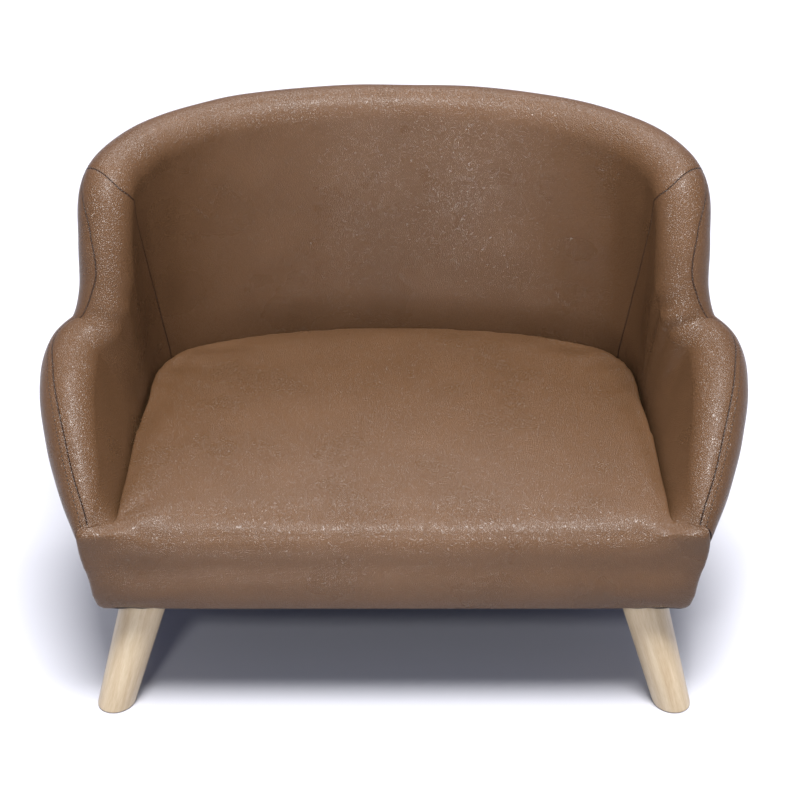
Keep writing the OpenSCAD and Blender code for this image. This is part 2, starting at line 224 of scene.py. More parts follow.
def wavy(points: np.ndarray, length: float, seed: float) -> np.ndarray:
    """A slow unevenness of hand-laid padding.

    Args:
        points: rows of points in metres.
        length: the length of its waves in metres.
        seed: shifts the waves.

    Returns:
        A number from about -1 to 1 for each point.
    """
    k = 2 * math.pi / length
    x, y, z = points[..., 0], points[..., 1], points[..., 2]
    a = np.sin(k * (0.83 * x + 0.37 * z) + seed) * np.sin(k * (0.61 * y - 0.52 * z) + 1.7 * seed)
    b = np.sin(k * 1.9 * (0.31 * x - 0.77 * z) + 2.3 * seed) * np.cos(k * 1.6 * (y + 0.4 * x) + seed)
    return 0.65 * a + 0.35 * b


# ---- Finishes ----


@dataclass(frozen=True)
class Leatherette:
    """Polyurethane leathercloth, embossed with a fine pebble.

    The emboss breaks the highlight on every roll into sparks, so a band of light looks grainy.
    """

    name: str = "brown_leathercloth"
    colour: str = "#59402B"
    valley: str = "#422C1B"
    # painted shade: the dark colour laid into the seam grooves, where shade falls
    seam: str = "#26150B"
    pebble: float = 1.8  # real pebbles are about 0.8 mm; drawn coarser so that they show
    pore: float = 0.7
    mottle: float = 70.0
    emboss: float = 0.36

    def build(self) -> bpy.types.Material:
        """Returns the material."""
        material, tree, shader = new_material(self.name)
        place = add_node(tree, "TexCoord").outputs["Object"]
        drift = add_node(tree, "TexNoise", values={"Scale": 0.4 / (self.pebble * MM), "Detail": 1.0},
                         links={"Vector": place})
        warped = add_node(tree, "VectorMath", {"operation": "MULTIPLY_ADD"},
                          {1: (0.9 * self.pebble * MM,) * 3}, {0: drift.outputs["Color"], 2: place})
        cells = add_node(tree, "TexVoronoi", {"feature": "DISTANCE_TO_EDGE"},
                         {"Scale": 1 / (self.pebble * MM)}, {"Vector": warped.outputs["Vector"]})
        domes = add_node(tree, "MapRange", {"interpolation_type": "SMOOTHSTEP"},
                         {"From Max": 0.32}, {"Value": cells.outputs["Distance"]})
        pores = add_node(tree, "TexNoise", values={"Scale": 1 / (self.pore * MM), "Detail": 2.0},
                         links={"Vector": place})
        broad = add_node(tree, "TexNoise", values={"Scale": 1 / (self.mottle * MM), "Detail": 4.0},
                         links={"Vector": place})
        tone = add_node(tree, "Mix", {"data_type": "RGBA"},
                        {6: linear(self.valley), 7: linear(self.colour)})
        lift = add_node(tree, "MapRange", values={"To Min": 0.55, "To Max": 1.05},
                        links={"Value": domes.outputs["Result"]})
        tree.links.new(lift.outputs["Result"], tone.inputs["Factor"])
        shift = add_node(tree, "MapRange", values={"From Min": 0.3, "From Max": 0.7, "To Min": 0.93,
                         "To Max": 1.07}, links={"Value": broad.outputs["Fac"]})
        mottled = add_node(tree, "HueSaturation", links={"Color": tone.outputs[2],
                           "Value": shift.outputs["Result"]})
        # Painted shade: near each seam the colour is mixed towards the seam colour, for the shade in
        # the sewn grooves.
        seam_shade_mask = add_node(tree, "Attribute", {"attribute_name": "seam"})
        shaded = add_node(tree, "Mix", {"data_type": "RGBA"}, {7: linear(self.seam)},
                          {"Factor": seam_shade_mask.outputs["Fac"], 6: mottled.outputs["Color"]})
        tree.links.new(shaded.outputs[2], shader.inputs["Base Color"])
        gloss = add_node(tree, "MapRange", values={"From Min": 0.25, "From Max": 0.75, "To Min": 0.25,
                         "To Max": 0.32}, links={"Value": broad.outputs["Fac"]})
        tree.links.new(gloss.outputs["Result"], shader.inputs["Roughness"])
        fine = add_node(tree, "Bump", values={"Strength": 0.6, "Distance": 0.16 * MM},
                        links={"Height": pores.outputs["Fac"]})
        coarse = add_node(tree, "Bump", values={"Strength": 0.8, "Distance": self.emboss * MM},
                          links={"Height": domes.outputs["Result"], "Normal": fine.outputs["Normal"]})
        tree.links.new(coarse.outputs["Normal"], shader.inputs["Normal"])
        shader.inputs["IOR"].default_value = 1.5
        shader.inputs["Specular IOR Level"].default_value = 0.28
        return material


@dataclass(frozen=True)
class Wood:
    """Sawn or turned wood: long fibres and slow bands of colour."""

    name: str
    pale: str
    dark: str
    run: Run = Run.ACROSS
    band: float = 9.0
    fibre: float = 0.5
    roughness: float = 0.55
    lacquer: float = 0.0
    follows: str = ""

    def build(self) -> bpy.types.Material:
        """Returns the material."""
        material, tree, shader = new_material(self.name)
        if self.follows:
            place = add_node(tree, "Attribute", {"attribute_name": self.follows}).outputs["Vector"]
        else:
            place = add_node(tree, "TexCoord").outputs["Object"]
        long = add_node(tree, "Mapping", values={"Scale": self.run.value}, links={"Vector": place})
        bands = add_node(tree, "TexNoise", values={"Scale": 1 / (self.band * MM), "Detail": 3.0,
                         "Distortion": 0.6}, links={"Vector": long.outputs["Vector"]})
        fibres = add_node(tree, "TexNoise", values={"Scale": 1 / (self.fibre * MM), "Detail": 3.0},
                          links={"Vector": long.outputs["Vector"]})
        both = add_node(tree, "Math", {"operation": "MULTIPLY_ADD"}, {1: 0.55},
                        {0: fibres.outputs["Fac"], 2: bands.outputs["Fac"]})
        spread = add_node(tree, "MapRange", values={"From Min": 0.52, "From Max": 1.02},
                          links={"Value": both.outputs["Value"]})
        tone = add_node(tree, "Mix", {"data_type": "RGBA"},
                        {6: linear(self.pale), 7: linear(self.dark)},
                        {"Factor": spread.outputs["Result"]})
        tree.links.new(tone.outputs[2], shader.inputs["Base Color"])
        dull = add_node(tree, "MapRange", values={"To Min": self.roughness - 0.07,
                        "To Max": self.roughness + 0.1}, links={"Value": fibres.outputs["Fac"]})
        tree.links.new(dull.outputs["Result"], shader.inputs["Roughness"])
        bump = add_node(tree, "Bump", values={"Strength": 0.3, "Distance": 0.08 * MM},
                        links={"Height": fibres.outputs["Fac"]})
        tree.links.new(bump.outputs["Normal"], shader.inputs["Normal"])
        shader.inputs["Coat Weight"].default_value = self.lacquer
        shader.inputs["Coat Roughness"].default_value = 0.25
        return material


@dataclass(frozen=True)
class Steel:
    """Plated steel wire or bar: a bright metal with a cloudy plating."""

    name: str
    colour: str
    cloud: float = 3.0
    roughness: float = 0.32

    def build(self) -> bpy.types.Material:
        """Returns the material."""
        material, tree, shader = new_material(self.name)
        place = add_node(tree, "TexCoord").outputs["Object"]
        cloud = add_node(tree, "TexNoise", values={"Scale": 1 / (self.cloud * MM), "Detail": 3.0},
                         links={"Vector": place})
        value = add_node(tree, "MapRange", values={"To Min": 0.8, "To Max": 1.15},
                         links={"Value": cloud.outputs["Fac"]})
        tone = add_node(tree, "HueSaturation", values={"Color": linear(self.colour)},
                        links={"Value": value.outputs["Result"]})
        tree.links.new(tone.outputs["Color"], shader.inputs["Base Color"])
        dull = add_node(tree, "MapRange", values={"To Min": self.roughness - 0.1,
                        "To Max": self.roughness + 0.15}, links={"Value": cloud.outputs["Fac"]})
        tree.links.new(dull.outputs["Result"], shader.inputs["Roughness"])
        shader.inputs["Metallic"].default_value = 1.0
        return material


@dataclass(frozen=True)
class Spunbond:
    """Black non-woven lining: pressed fibres with a grid of welded dots, dull and slightly fuzzy."""

    name: str = "black_spunbond_lining"
    colour: str = "#232326"
    dot: str = "#101012"
    pitch: float = 1.6
    fibre: float = 0.4

    def build(self) -> bpy.types.Material:
        """Returns the material."""
        material, tree, shader = new_material(self.name)
        place = add_node(tree, "TexCoord").outputs["Object"]
        dots = add_node(tree, "TexVoronoi", {"feature": "F1"},
                        {"Scale": 1 / (self.pitch * MM), "Randomness": 0.15}, {"Vector": place})
        weld = add_node(tree, "MapRange", {"interpolation_type": "SMOOTHSTEP"},
                        {"From Min": 0.18, "From Max": 0.36}, {"Value": dots.outputs["Distance"]})
        fibres = add_node(tree, "TexNoise", values={"Scale": 1 / (self.fibre * MM), "Detail": 3.0,
                          "Distortion": 1.2}, links={"Vector": place})
        tone = add_node(tree, "Mix", {"data_type": "RGBA"},
                        {6: linear(self.dot), 7: linear(self.colour)},
                        {"Factor": weld.outputs["Result"]})
        value = add_node(tree, "MapRange", values={"To Min": 0.7, "To Max": 1.4},
                         links={"Value": fibres.outputs["Fac"]})
        fuzzy = add_node(tree, "HueSaturation", links={"Color": tone.outputs[2],
                         "Value": value.outputs["Result"]})
        tree.links.new(fuzzy.outputs["Color"], shader.inputs["Base Color"])
        height = add_node(tree, "Math", {"operation": "ADD"}, links={0: weld.outputs["Result"],
                          1: fibres.outputs["Fac"]})
        bump = add_node(tree, "Bump", values={"Strength": 0.5, "Distance": 0.12 * MM},
                        links={"Height": height.outputs["Value"]})
        tree.links.new(bump.outputs["Normal"], shader.inputs["Normal"])
        shader.inputs["Roughness"].default_value = 0.88
        shader.inputs["Sheen Weight"].default_value = 0.15
        return material


@dataclass(frozen=True)
class Thread:
    """Bonded polyester sewing thread: smooth and darker than the covering, so it reads as dots."""

    name: str = "brown_sewing_thread"
    colour: str = "#24160C"
    ply: float = 0.35

    def build(self) -> bpy.types.Material:
        """Returns the material."""
        material, tree, shader = new_material(self.name)
        place = add_node(tree, "TexCoord").outputs["Object"]
        twist = add_node(tree, "TexNoise", values={"Scale": 1 / (self.ply * MM), "Detail": 1.0},
                         links={"Vector": place})
        value = add_node(tree, "MapRange", values={"To Min": 0.7, "To Max": 1.3},
                         links={"Value": twist.outputs["Fac"]})
        tone = add_node(tree, "HueSaturation", values={"Color": linear(self.colour)},
                        links={"Value": value.outputs["Result"]})
        tree.links.new(tone.outputs["Color"], shader.inputs["Base Color"])
        bump = add_node(tree, "Bump", values={"Strength": 0.4, "Distance": 0.05 * MM},
                        links={"Height": twist.outputs["Fac"]})
        tree.links.new(bump.outputs["Normal"], shader.inputs["Normal"])
        shader.inputs["Roughness"].default_value = 0.45
        return material


@dataclass(frozen=True)
class PaintedFloor:
    """Matt white studio floor with a trace of roller texture."""

    name: str = "white_studio_floor"
    colour: str = "#B8B8BE"

    def build(self) -> bpy.types.Material:
        """Returns the material."""
        material, tree, shader = new_material(self.name)
        place = add_node(tree, "TexCoord").outputs["Object"]
        grain = add_node(tree, "TexNoise", values={"Scale": 300.0, "Detail": 2.0},
                         links={"Vector": place})
        bump = add_node(tree, "Bump", values={"Strength": 0.05, "Distance": 0.1 * MM},
                        links={"Height": grain.outputs["Fac"]})
        tree.links.new(bump.outputs["Normal"], shader.inputs["Normal"])
        shader.inputs["Base Color"].default_value = linear(self.colour)
        shader.inputs["Roughness"].default_value = 0.7
        shader.inputs["Specular IOR Level"].default_value = 0.2
        return material


# ---- The form of the wall ----


@dataclass(frozen=True)
class WallForm:
    """The padded wall that runs round the back and down both arms.

    A place along the wall is 0 in the middle of the back, 5 at the seam between back and side, and
    13 at the front end of an arm. A height is 1 at the roll, 0 at the shoulder of the seat box and
    -1 at its lower edge. All lengths are millimetres.
    """

    roll_line: tuple = (
        (0, 218, 442, 30), (90, 214, 441, 30), (178, 188, 440, 30), (244, 143, 438, 30),
        (278, 95, 434, 30), (290, 58, 424, 29), (291, 28, 388, 28), (291, 6, 342, 28),
        (300, -13, 307, 29), (320, -37, 293, 30), (322, -78, 278, 30), (314, -128, 251, 27),
        (301, -178, 223, 22), (290, -222, 197, 12))
    box_line: tuple = (
        (0, 168), (85, 164), (165, 151), (229, 130), (262, 100), (276, 68), (280, 40), (280, 16),
        (280, -8), (280, -40), (280, -84), (280, -132), (280, -182), (271, -222))
    seam_line: tuple = (55, 55, 55, 55, 55, 48, 18, 6, 4, 14, -1, -13, -22, -77)
    border_heights: tuple = (0.1, 0.24, 0.42, 0.58, 0.75, 0.9, 1.05, 1.3, 1.6, 2.0)
    border_shifts: tuple = (-0.82, -0.66, -0.4, -0.1, 0.2, 0.42, 0.5, 0.45, 0.24, 0.0)
    border_spread: float = 4.0
    wall_half: float = 19.0
    shoulder_z: float = 190.0
    box_z: float = 118.0
    deck_top: float = 181.2
    soft: float = 0.3
    front_y: float = -222.0
    seam_place: float = 4.65
    batten_place: float = 5.0
    last_place: float = 13.0
    board_end: float = 12.0
    board_in: float = 3.8
    board_out: float = 13.2
    slot_top: float = 0.955

    @staticmethod
    def along(line: Sequence, places: np.ndarray, mirrored: bool = True) -> np.ndarray:
        """Reads a smooth curve through a list of points.

        Args:
            line: the points at places 0, 1, 2 and so on.
            places: where to read it; a negative place is on the left.
            mirrored: whether the first number changes sign on the left.

        Returns:
            One row for each place.
        """
        rows = np.array(line, float).reshape(len(line), -1)
        first = rows[1].copy()
        if mirrored:
            first[0] *= -1
        knots = np.vstack([first, rows, 2 * rows[-1] - rows[-2]])
        far = np.abs(places)
        i = np.minimum(np.floor(far).astype(int), len(rows) - 2)
        f = (far - i)[..., None]
        a, b, c, d = knots[i], knots[i + 1], knots[i + 2], knots[i + 3]
        out = (2 * b + (c - a) * f + (2 * a - 5 * b + 4 * c - d) * f**2
               + (3 * b - a - 3 * c + d) * f**3) / 2
        if mirrored:
            out[..., 0] *= np.where(places < 0, -1, 1)
        return out

    def middle(self, s: np.ndarray, t: np.ndarray) -> np.ndarray:
        """Points on the middle surface of the wall at places s and heights t."""
        low = self.along(self.box_line, s)
        high = self.along(self.roll_line, s)
        lean = np.where(t > self.soft, t, np.maximum(t + self.soft, 0) ** 2 / (4 * self.soft))
        z = self.shoulder_z + np.where(
            t < 0, t * (self.shoulder_z - self.box_z), t * (high[..., 2] - self.shoulder_z))
        x = low[..., 0] + lean * (high[..., 0] - low[..., 0])
        y = low[..., 1] + lean * (high[..., 1] - low[..., 1])
        return np.stack([x, y, z], -1)

    def run(self, s: np.ndarray, t: np.ndarray) -> np.ndarray:
        """The direction along the wall."""
        step = 0.05
        ahead = self.middle(np.minimum(s + step, self.last_place), t)
        return ahead - self.middle(np.maximum(s - step, -self.last_place), t)

    def outward(self, s: np.ndarray, t: np.ndarray) -> np.ndarray:
        """The direction square to the wall, away from the seat."""
        rise = self.middle(s, t) - self.middle(s, t - 0.01)
        return unit(np.cross(rise, self.run(s, t)))

    def radius(self, s: np.ndarray) -> np.ndarray:
        """Radius of the roll."""
        return self.along(self.roll_line, s)[..., 3]

    def half(self, s: np.ndarray, t: np.ndarray) -> np.ndarray:
        """Half of the padded thickness."""
        return self.wall_half + (self.radius(s) - self.wall_half) * np.maximum(t, 0)

    def off(self, s: np.ndarray, t: np.ndarray, d: np.ndarray) -> np.ndarray:
        """Points at a signed distance d outside the middle surface."""
        return self.middle(s, t) + np.asarray(d)[..., None] * self.outward(s, t)

    def on_roll(self, s: np.ndarray, degrees: np.ndarray) -> np.ndarray:
        """Points on the roll, at an angle from its crest that grows outwards."""
        ones = np.ones_like(s)
        out = self.outward(s, ones)
        up = unit(np.cross(self.run(s, ones), out))
        a = np.radians(degrees)[..., None]
        centre = self.along(self.roll_line, s)[..., :3]
        return centre + self.radius(s)[..., None] * (np.sin(a) * out + np.cos(a) * up)

    def seam_angle(self, s: np.ndarray) -> np.ndarray:
        """Where round the roll the inside and outside coverings are sewn."""
        return self.along(self.seam_line, s, mirrored=False)[..., 0]

    def slot_out(self, s: np.ndarray, t: np.ndarray) -> np.ndarray:
        """Outer face of the slot in the padding that holds the board."""
        return np.minimum(self.board_out, self.half(s, t) - 3.5)

    def slot_in(self, s: np.ndarray, t: np.ndarray) -> np.ndarray:
        """Inner face of that slot, wider at the corner batten and closed past the board's end."""
        past = np.clip((np.abs(s) - self.board_end) / (self.last_place - self.board_end), 0, 1)
        plain = np.where(np.abs(np.abs(s) - self.batten_place) < 0.58, -6.4, self.board_in)
        return np.where(past > 0, self.slot_out(s, t) - 1 - 8 * (1 - past), plain)

    def slant(self, s: np.ndarray, height: np.ndarray) -> np.ndarray:
        """Where a column of the inside really stands, because its seam runs inwards as it falls.

        Args:
            s: places at the crest.
            height: 0 at the shoulder, 1 where the roll starts and 2 at the crest seam.

        Returns:
            Places at that height.
        """
        shift = np.interp(height, self.border_heights, self.border_shifts)
        far = np.clip(np.abs(np.abs(s) - self.seam_place) / self.border_spread, 0, 1)
        return s + np.sign(s) * shift * (1 - eased(far))

    def section(self, face: Face, s: np.ndarray) -> tuple[np.ndarray, np.ndarray]:
        """The wall's section at each place, on one face, from the lower edge to the seam or back.

        Args:
            face: the inside or the outside covering.
            s: places along the wall.

        Returns:
            Points of the covering and of the padding's back, each of them rows by places by 3. They
            start at the sewn edge and end at the lower edge.
        """
        outer: list[np.ndarray] = []
        inner: list[np.ndarray] = []
        ones = np.ones_like(s)
        top = self.slot_top * ones
        seam = self.seam_angle(s)
        end = -90.0 if face is Face.INSIDE else 90.0
        for k in np.linspace(0, 1, 33):
            angle = seam + k * (end - seam)
            f = (angle + 90) / 180
            at = self.slant(s, 2 - k * ones) if face is Face.INSIDE else s
            outer.append(self.on_roll(at, angle))
            depth = (1 - f) * self.slot_in(at, ones) + f * self.slot_out(at, ones)
            inner.append(self.off(at, top, depth))
        if face is Face.INSIDE:
            low = (self.deck_top + 0.2 - self.shoulder_z) / (self.shoulder_z - self.box_z)
            for t in np.linspace(1, low, 90)[1:]:
                at = self.slant(s, t * ones)
                outer.append(self.off(at, t * ones, -self.half(at, t * ones)))
                t_in = min(t, self.slot_top) * ones
                inner.append(self.off(at, t_in, self.slot_in(at, t_in)))
            return np.stack(outer), np.stack(inner)
        hem = 3.0
        lowest = -1 + hem / (self.shoulder_z - self.box_z)
        for t in np.linspace(1, lowest, 110)[1:]:
            outer.append(self.off(s, t * ones, self.half(s, t * ones)))
            t_in = float(np.clip(t, -0.97, self.slot_top)) * ones
            inner.append(self.off(s, t_in, self.slot_out(s, t_in)))
        for k in np.linspace(0, 90, 7)[1:]:
            a = math.radians(k)
            point = self.off(s, -ones, self.wall_half - hem + hem * math.cos(a) * ones)
            point[..., 2] = self.box_z + hem - hem * math.sin(a)
            outer.append(point)
            inner.append(inner[-1])
        lip = self.off(s, -ones, 15.6 * ones)
        lip[..., 2] = self.box_z
        outer.append(lip)
        inner.append(inner[-1])
        return np.stack(outer), np.stack(inner)


# ---- Panels ----


@dataclass
class Seamed:
    """How the edge of a panel turns down into a sewn seam."""

    fold: float = 0.9
    tuck: float = 2.4
    dip: float = 0.35
    reach: float = 4.0
    # width of the painted shade beside a seam, in millimetres
    shade: float = 0.9

    def depth(self, away: np.ndarray) -> np.ndarray:
        """How deep the covering lies at a distance from the seam, in millimetres."""
        lost = np.clip(self.fold - away, 0, self.fold)
        turn = self.fold - np.sqrt(np.maximum(self.fold**2 - lost**2, 0))
        return turn + self.dip * np.exp(-((away / self.reach) ** 2))


FINE_STEPS = (0.0, 0.0, 0.12, 0.3, 0.55, 0.85, 1.2, 1.7, 2.4, 3.4, 4.8, 6.8, 9.5)


def spread(total: float, count: int, fine: bool, fine_end: bool) -> np.ndarray:
    """Spaces points from one edge of a panel to the other, closer together at sewn edges.

    Args:
        total: the distance from edge to edge in millimetres.
        count: how many points there are.
        fine: whether the first edge is sewn.
        fine_end: whether the last edge is sewn.

    Returns:
        Distances from the first edge, count of them.
    """
    start = np.array(FINE_STEPS if fine else (0.0,))
    stop = np.array(FINE_STEPS if fine_end else (0.0,))
    room = start[-1] + stop[-1] + 0.25 * total
    squeeze = min(1.0, 0.9 * total / max(room, 1e-9)) if room > total else 1.0
    start, stop = start * squeeze, total - stop[::-1] * squeeze
    between = np.linspace(start[-1], stop[0], count - len(start) - len(stop) + 2)[1:-1]
    return np.concatenate([start, between, stop])


def resample(rows: np.ndarray, count: int, fine: bool, fine_end: bool) -> tuple[np.ndarray, np.ndarray]:
    """Spaces the points of each line anew by its length.

    Args:
        rows: lines by points by channels, whose first three channels are the place.
        count: points on each new line.
        fine: whether the first end is sewn.
        fine_end: whether the last end is sewn.

    Returns:
        The new lines, and each point's distance from the first end, lines by points.
    """
    out = np.empty((len(rows), count, rows.shape[2]))
    away = np.empty((len(rows), count, 2))
    for i, line in enumerate(rows):
        steps = np.linalg.norm(np.diff(line[:, :3], axis=0), axis=1)
        length = np.concatenate([[0], np.cumsum(steps)])
        at = spread(length[-1], count, fine, fine_end)
        for k in range(rows.shape[2]):
            out[i, :, k] = np.interp(at, length, line[:, k])
        away[i, :, 0] = at
        away[i, :, 1] = length[-1] - at
    return out, away


def trim_front(rows: np.ndarray, front_y: float) -> np.ndarray:
    """Ends each line where it meets the back of the seat front.

    Args:
        rows: lines by points by channels, running forwards.
        front_y: where they end.

    Returns:
        Lines of the same number of points.
    """
    out = rows.copy()
    for i, line in enumerate(rows):
        over = np.flatnonzero(line[:, 1] < front_y)
        if not len(over) or over[0] == 0:
            continue
        k = over[0]
        f = (line[k - 1, 1] - front_y) / (line[k - 1, 1] - line[k, 1])
        cut = line[k - 1] + f * (line[k] - line[k - 1])
        out[i, k:] = cut
    return out


def face_normals(grid: np.ndarray) -> np.ndarray:
    """The direction square to a grid of points, by its columns crossed with its rows."""
    across = np.gradient(grid, axis=1)
    down = np.gradient(grid, axis=0)
    return unit(np.cross(across, down))


def shaped_grid(name: str, points: np.ndarray) -> bpy.types.Object:
    """Lays a grid primitive over a grid of points.

    Args:
        name: the new object's name.
        points: rows by columns by 3, in metres.

    Returns:
        The object.
    """
    rows, columns = points.shape[:2]
    bpy.ops.object.select_all(action="DESELECT")
    bpy.ops.mesh.primitive_grid_add(x_subdivisions=columns - 1, y_subdivisions=rows - 1, size=1)
    piece = bpy.context.active_object
    piece.name = name
    flat = get_points(piece)
    i = np.rint((flat[:, 0] + 0.5) * (columns - 1)).astype(int)
    j = np.rint((flat[:, 1] + 0.5) * (rows - 1)).astype(int)
    set_points(piece, points[j, i])
    index = piece.data.attributes.new("at", "FLOAT_VECTOR", "POINT")
    index.data.foreach_set("vector", np.stack([i, j, 0 * i], 1).astype(np.float32).reshape(-1))
    return piece


def close_with(piece: bpy.types.Object, back: np.ndarray) -> None:
    """Gives an open grid a back of its own shape and closes the rim.

    Args:
        piece: the object made by shaped_grid.
        back: the back's points, rows by columns by 3, in metres.
    """
    count = len(piece.data.vertices)
    at = np.empty(count * 3, np.float32)
    piece.data.attributes["at"].data.foreach_get("vector", at)
    at = at.reshape(-1, 3).astype(int)
    apply_modifier(piece, "SOLIDIFY", thickness=MM, offset=-1, use_rim=True)
    points = get_points(piece)
    points[count:] = back[at[:, 1], at[:, 0]]
    set_points(piece, points)
    piece.data.attributes.remove(piece.data.attributes["at"])


@dataclass
class Stitching:
    """A line of sewing: one stitch is modelled and copied along the line."""

    pitch: float = 4.3
    length: float = 3.1
    thick: float = 0.9
    rise: float = 0.15

    def stitch(self) -> tuple[np.ndarray, list[tuple[int, ...]]]:
        """Models one stitch: a thread that dives into the covering at both ends.

        Returns:
            Its points in metres, x along the seam and z out of the covering, and its faces.
        """
        bpy.ops.object.select_all(action="DESELECT")
        bpy.ops.mesh.primitive_uv_sphere_add(segments=6, ring_count=6, radius=0.5)
        one = bpy.context.active_object
        size = (self.length * MM, self.thick * MM, self.thick * MM)
        middle = (0, 0, 0)
        with editing():
            bpy.ops.transform.rotate(
                value=math.radians(90), orient_axis="Y", center_override=middle)
            bpy.ops.transform.resize(value=size, center_override=middle)
        points = get_points(one)
        bend = (2 * points[:, 0] / (self.length * MM)) ** 2
        points[:, 2] += (self.rise - 0.7 * self.thick * bend) * MM
        faces = [tuple(p.vertices) for p in one.data.polygons]
        bpy.data.objects.remove(one)
        return points, faces

    def sew(self, name: str, lines: list[tuple[np.ndarray, np.ndarray]]) -> bpy.types.Object:
        """Copies the stitch along lines.

        Args:
            name: the new object's name.
            lines: pairs of points and outward directions along each line, in metres.

        Returns:
            One object with all the stitches.
        """
        shape, faces = self.stitch()
        points: list[np.ndarray] = []
        polygons: list[tuple[int, ...]] = []
        for path, normals in lines:
            steps = np.linalg.norm(np.diff(path, axis=0), axis=1)
            length = np.concatenate([[0], np.cumsum(steps)])
            count = int(length[-1] / (self.pitch * MM))
            centres = (np.arange(count) + 0.5) * length[-1] / count
            half = 0.5 * self.length * MM
            at = np.stack([np.interp(centres, length, path[:, k]) for k in range(3)], 1)
            fore = np.stack([np.interp(centres + half, length, path[:, k]) for k in range(3)], 1)
            aft = np.stack([np.interp(centres - half, length, path[:, k]) for k in range(3)], 1)
            out = unit(np.stack([np.interp(centres, length, normals[:, k]) for k in range(3)], 1))
            tangent = unit(fore - aft)
            side = unit(np.cross(out, tangent))
            out = np.cross(tangent, side)
            for c, x, y, z in zip(at, tangent, side, out):
                start = len(points) * len(shape)
                points.append(c + shape[:, :1] * x + shape[:, 1:2] * y + shape[:, 2:] * z)
                polygons.extend(tuple(start + i for i in f) for f in faces)
        mesh = bpy.data.meshes.new(name)
        mesh.from_pydata(np.concatenate(points).tolist(), [], polygons)
        piece = bpy.data.objects.new(name, mesh)
        bpy.context.scene.collection.objects.link(piece)
        mesh.polygons.foreach_set("use_smooth", [True] * len(mesh.polygons))
        return piece


@dataclass
class Panel:
    """One panel of the wall's covering with the padding behind it."""

    name: str
    face: Face
    first: float
    last: float
    columns: int
    rows: int
    grid: np.ndarray = field(default=None, repr=False)
    normals: np.ndarray = field(default=None, repr=False)


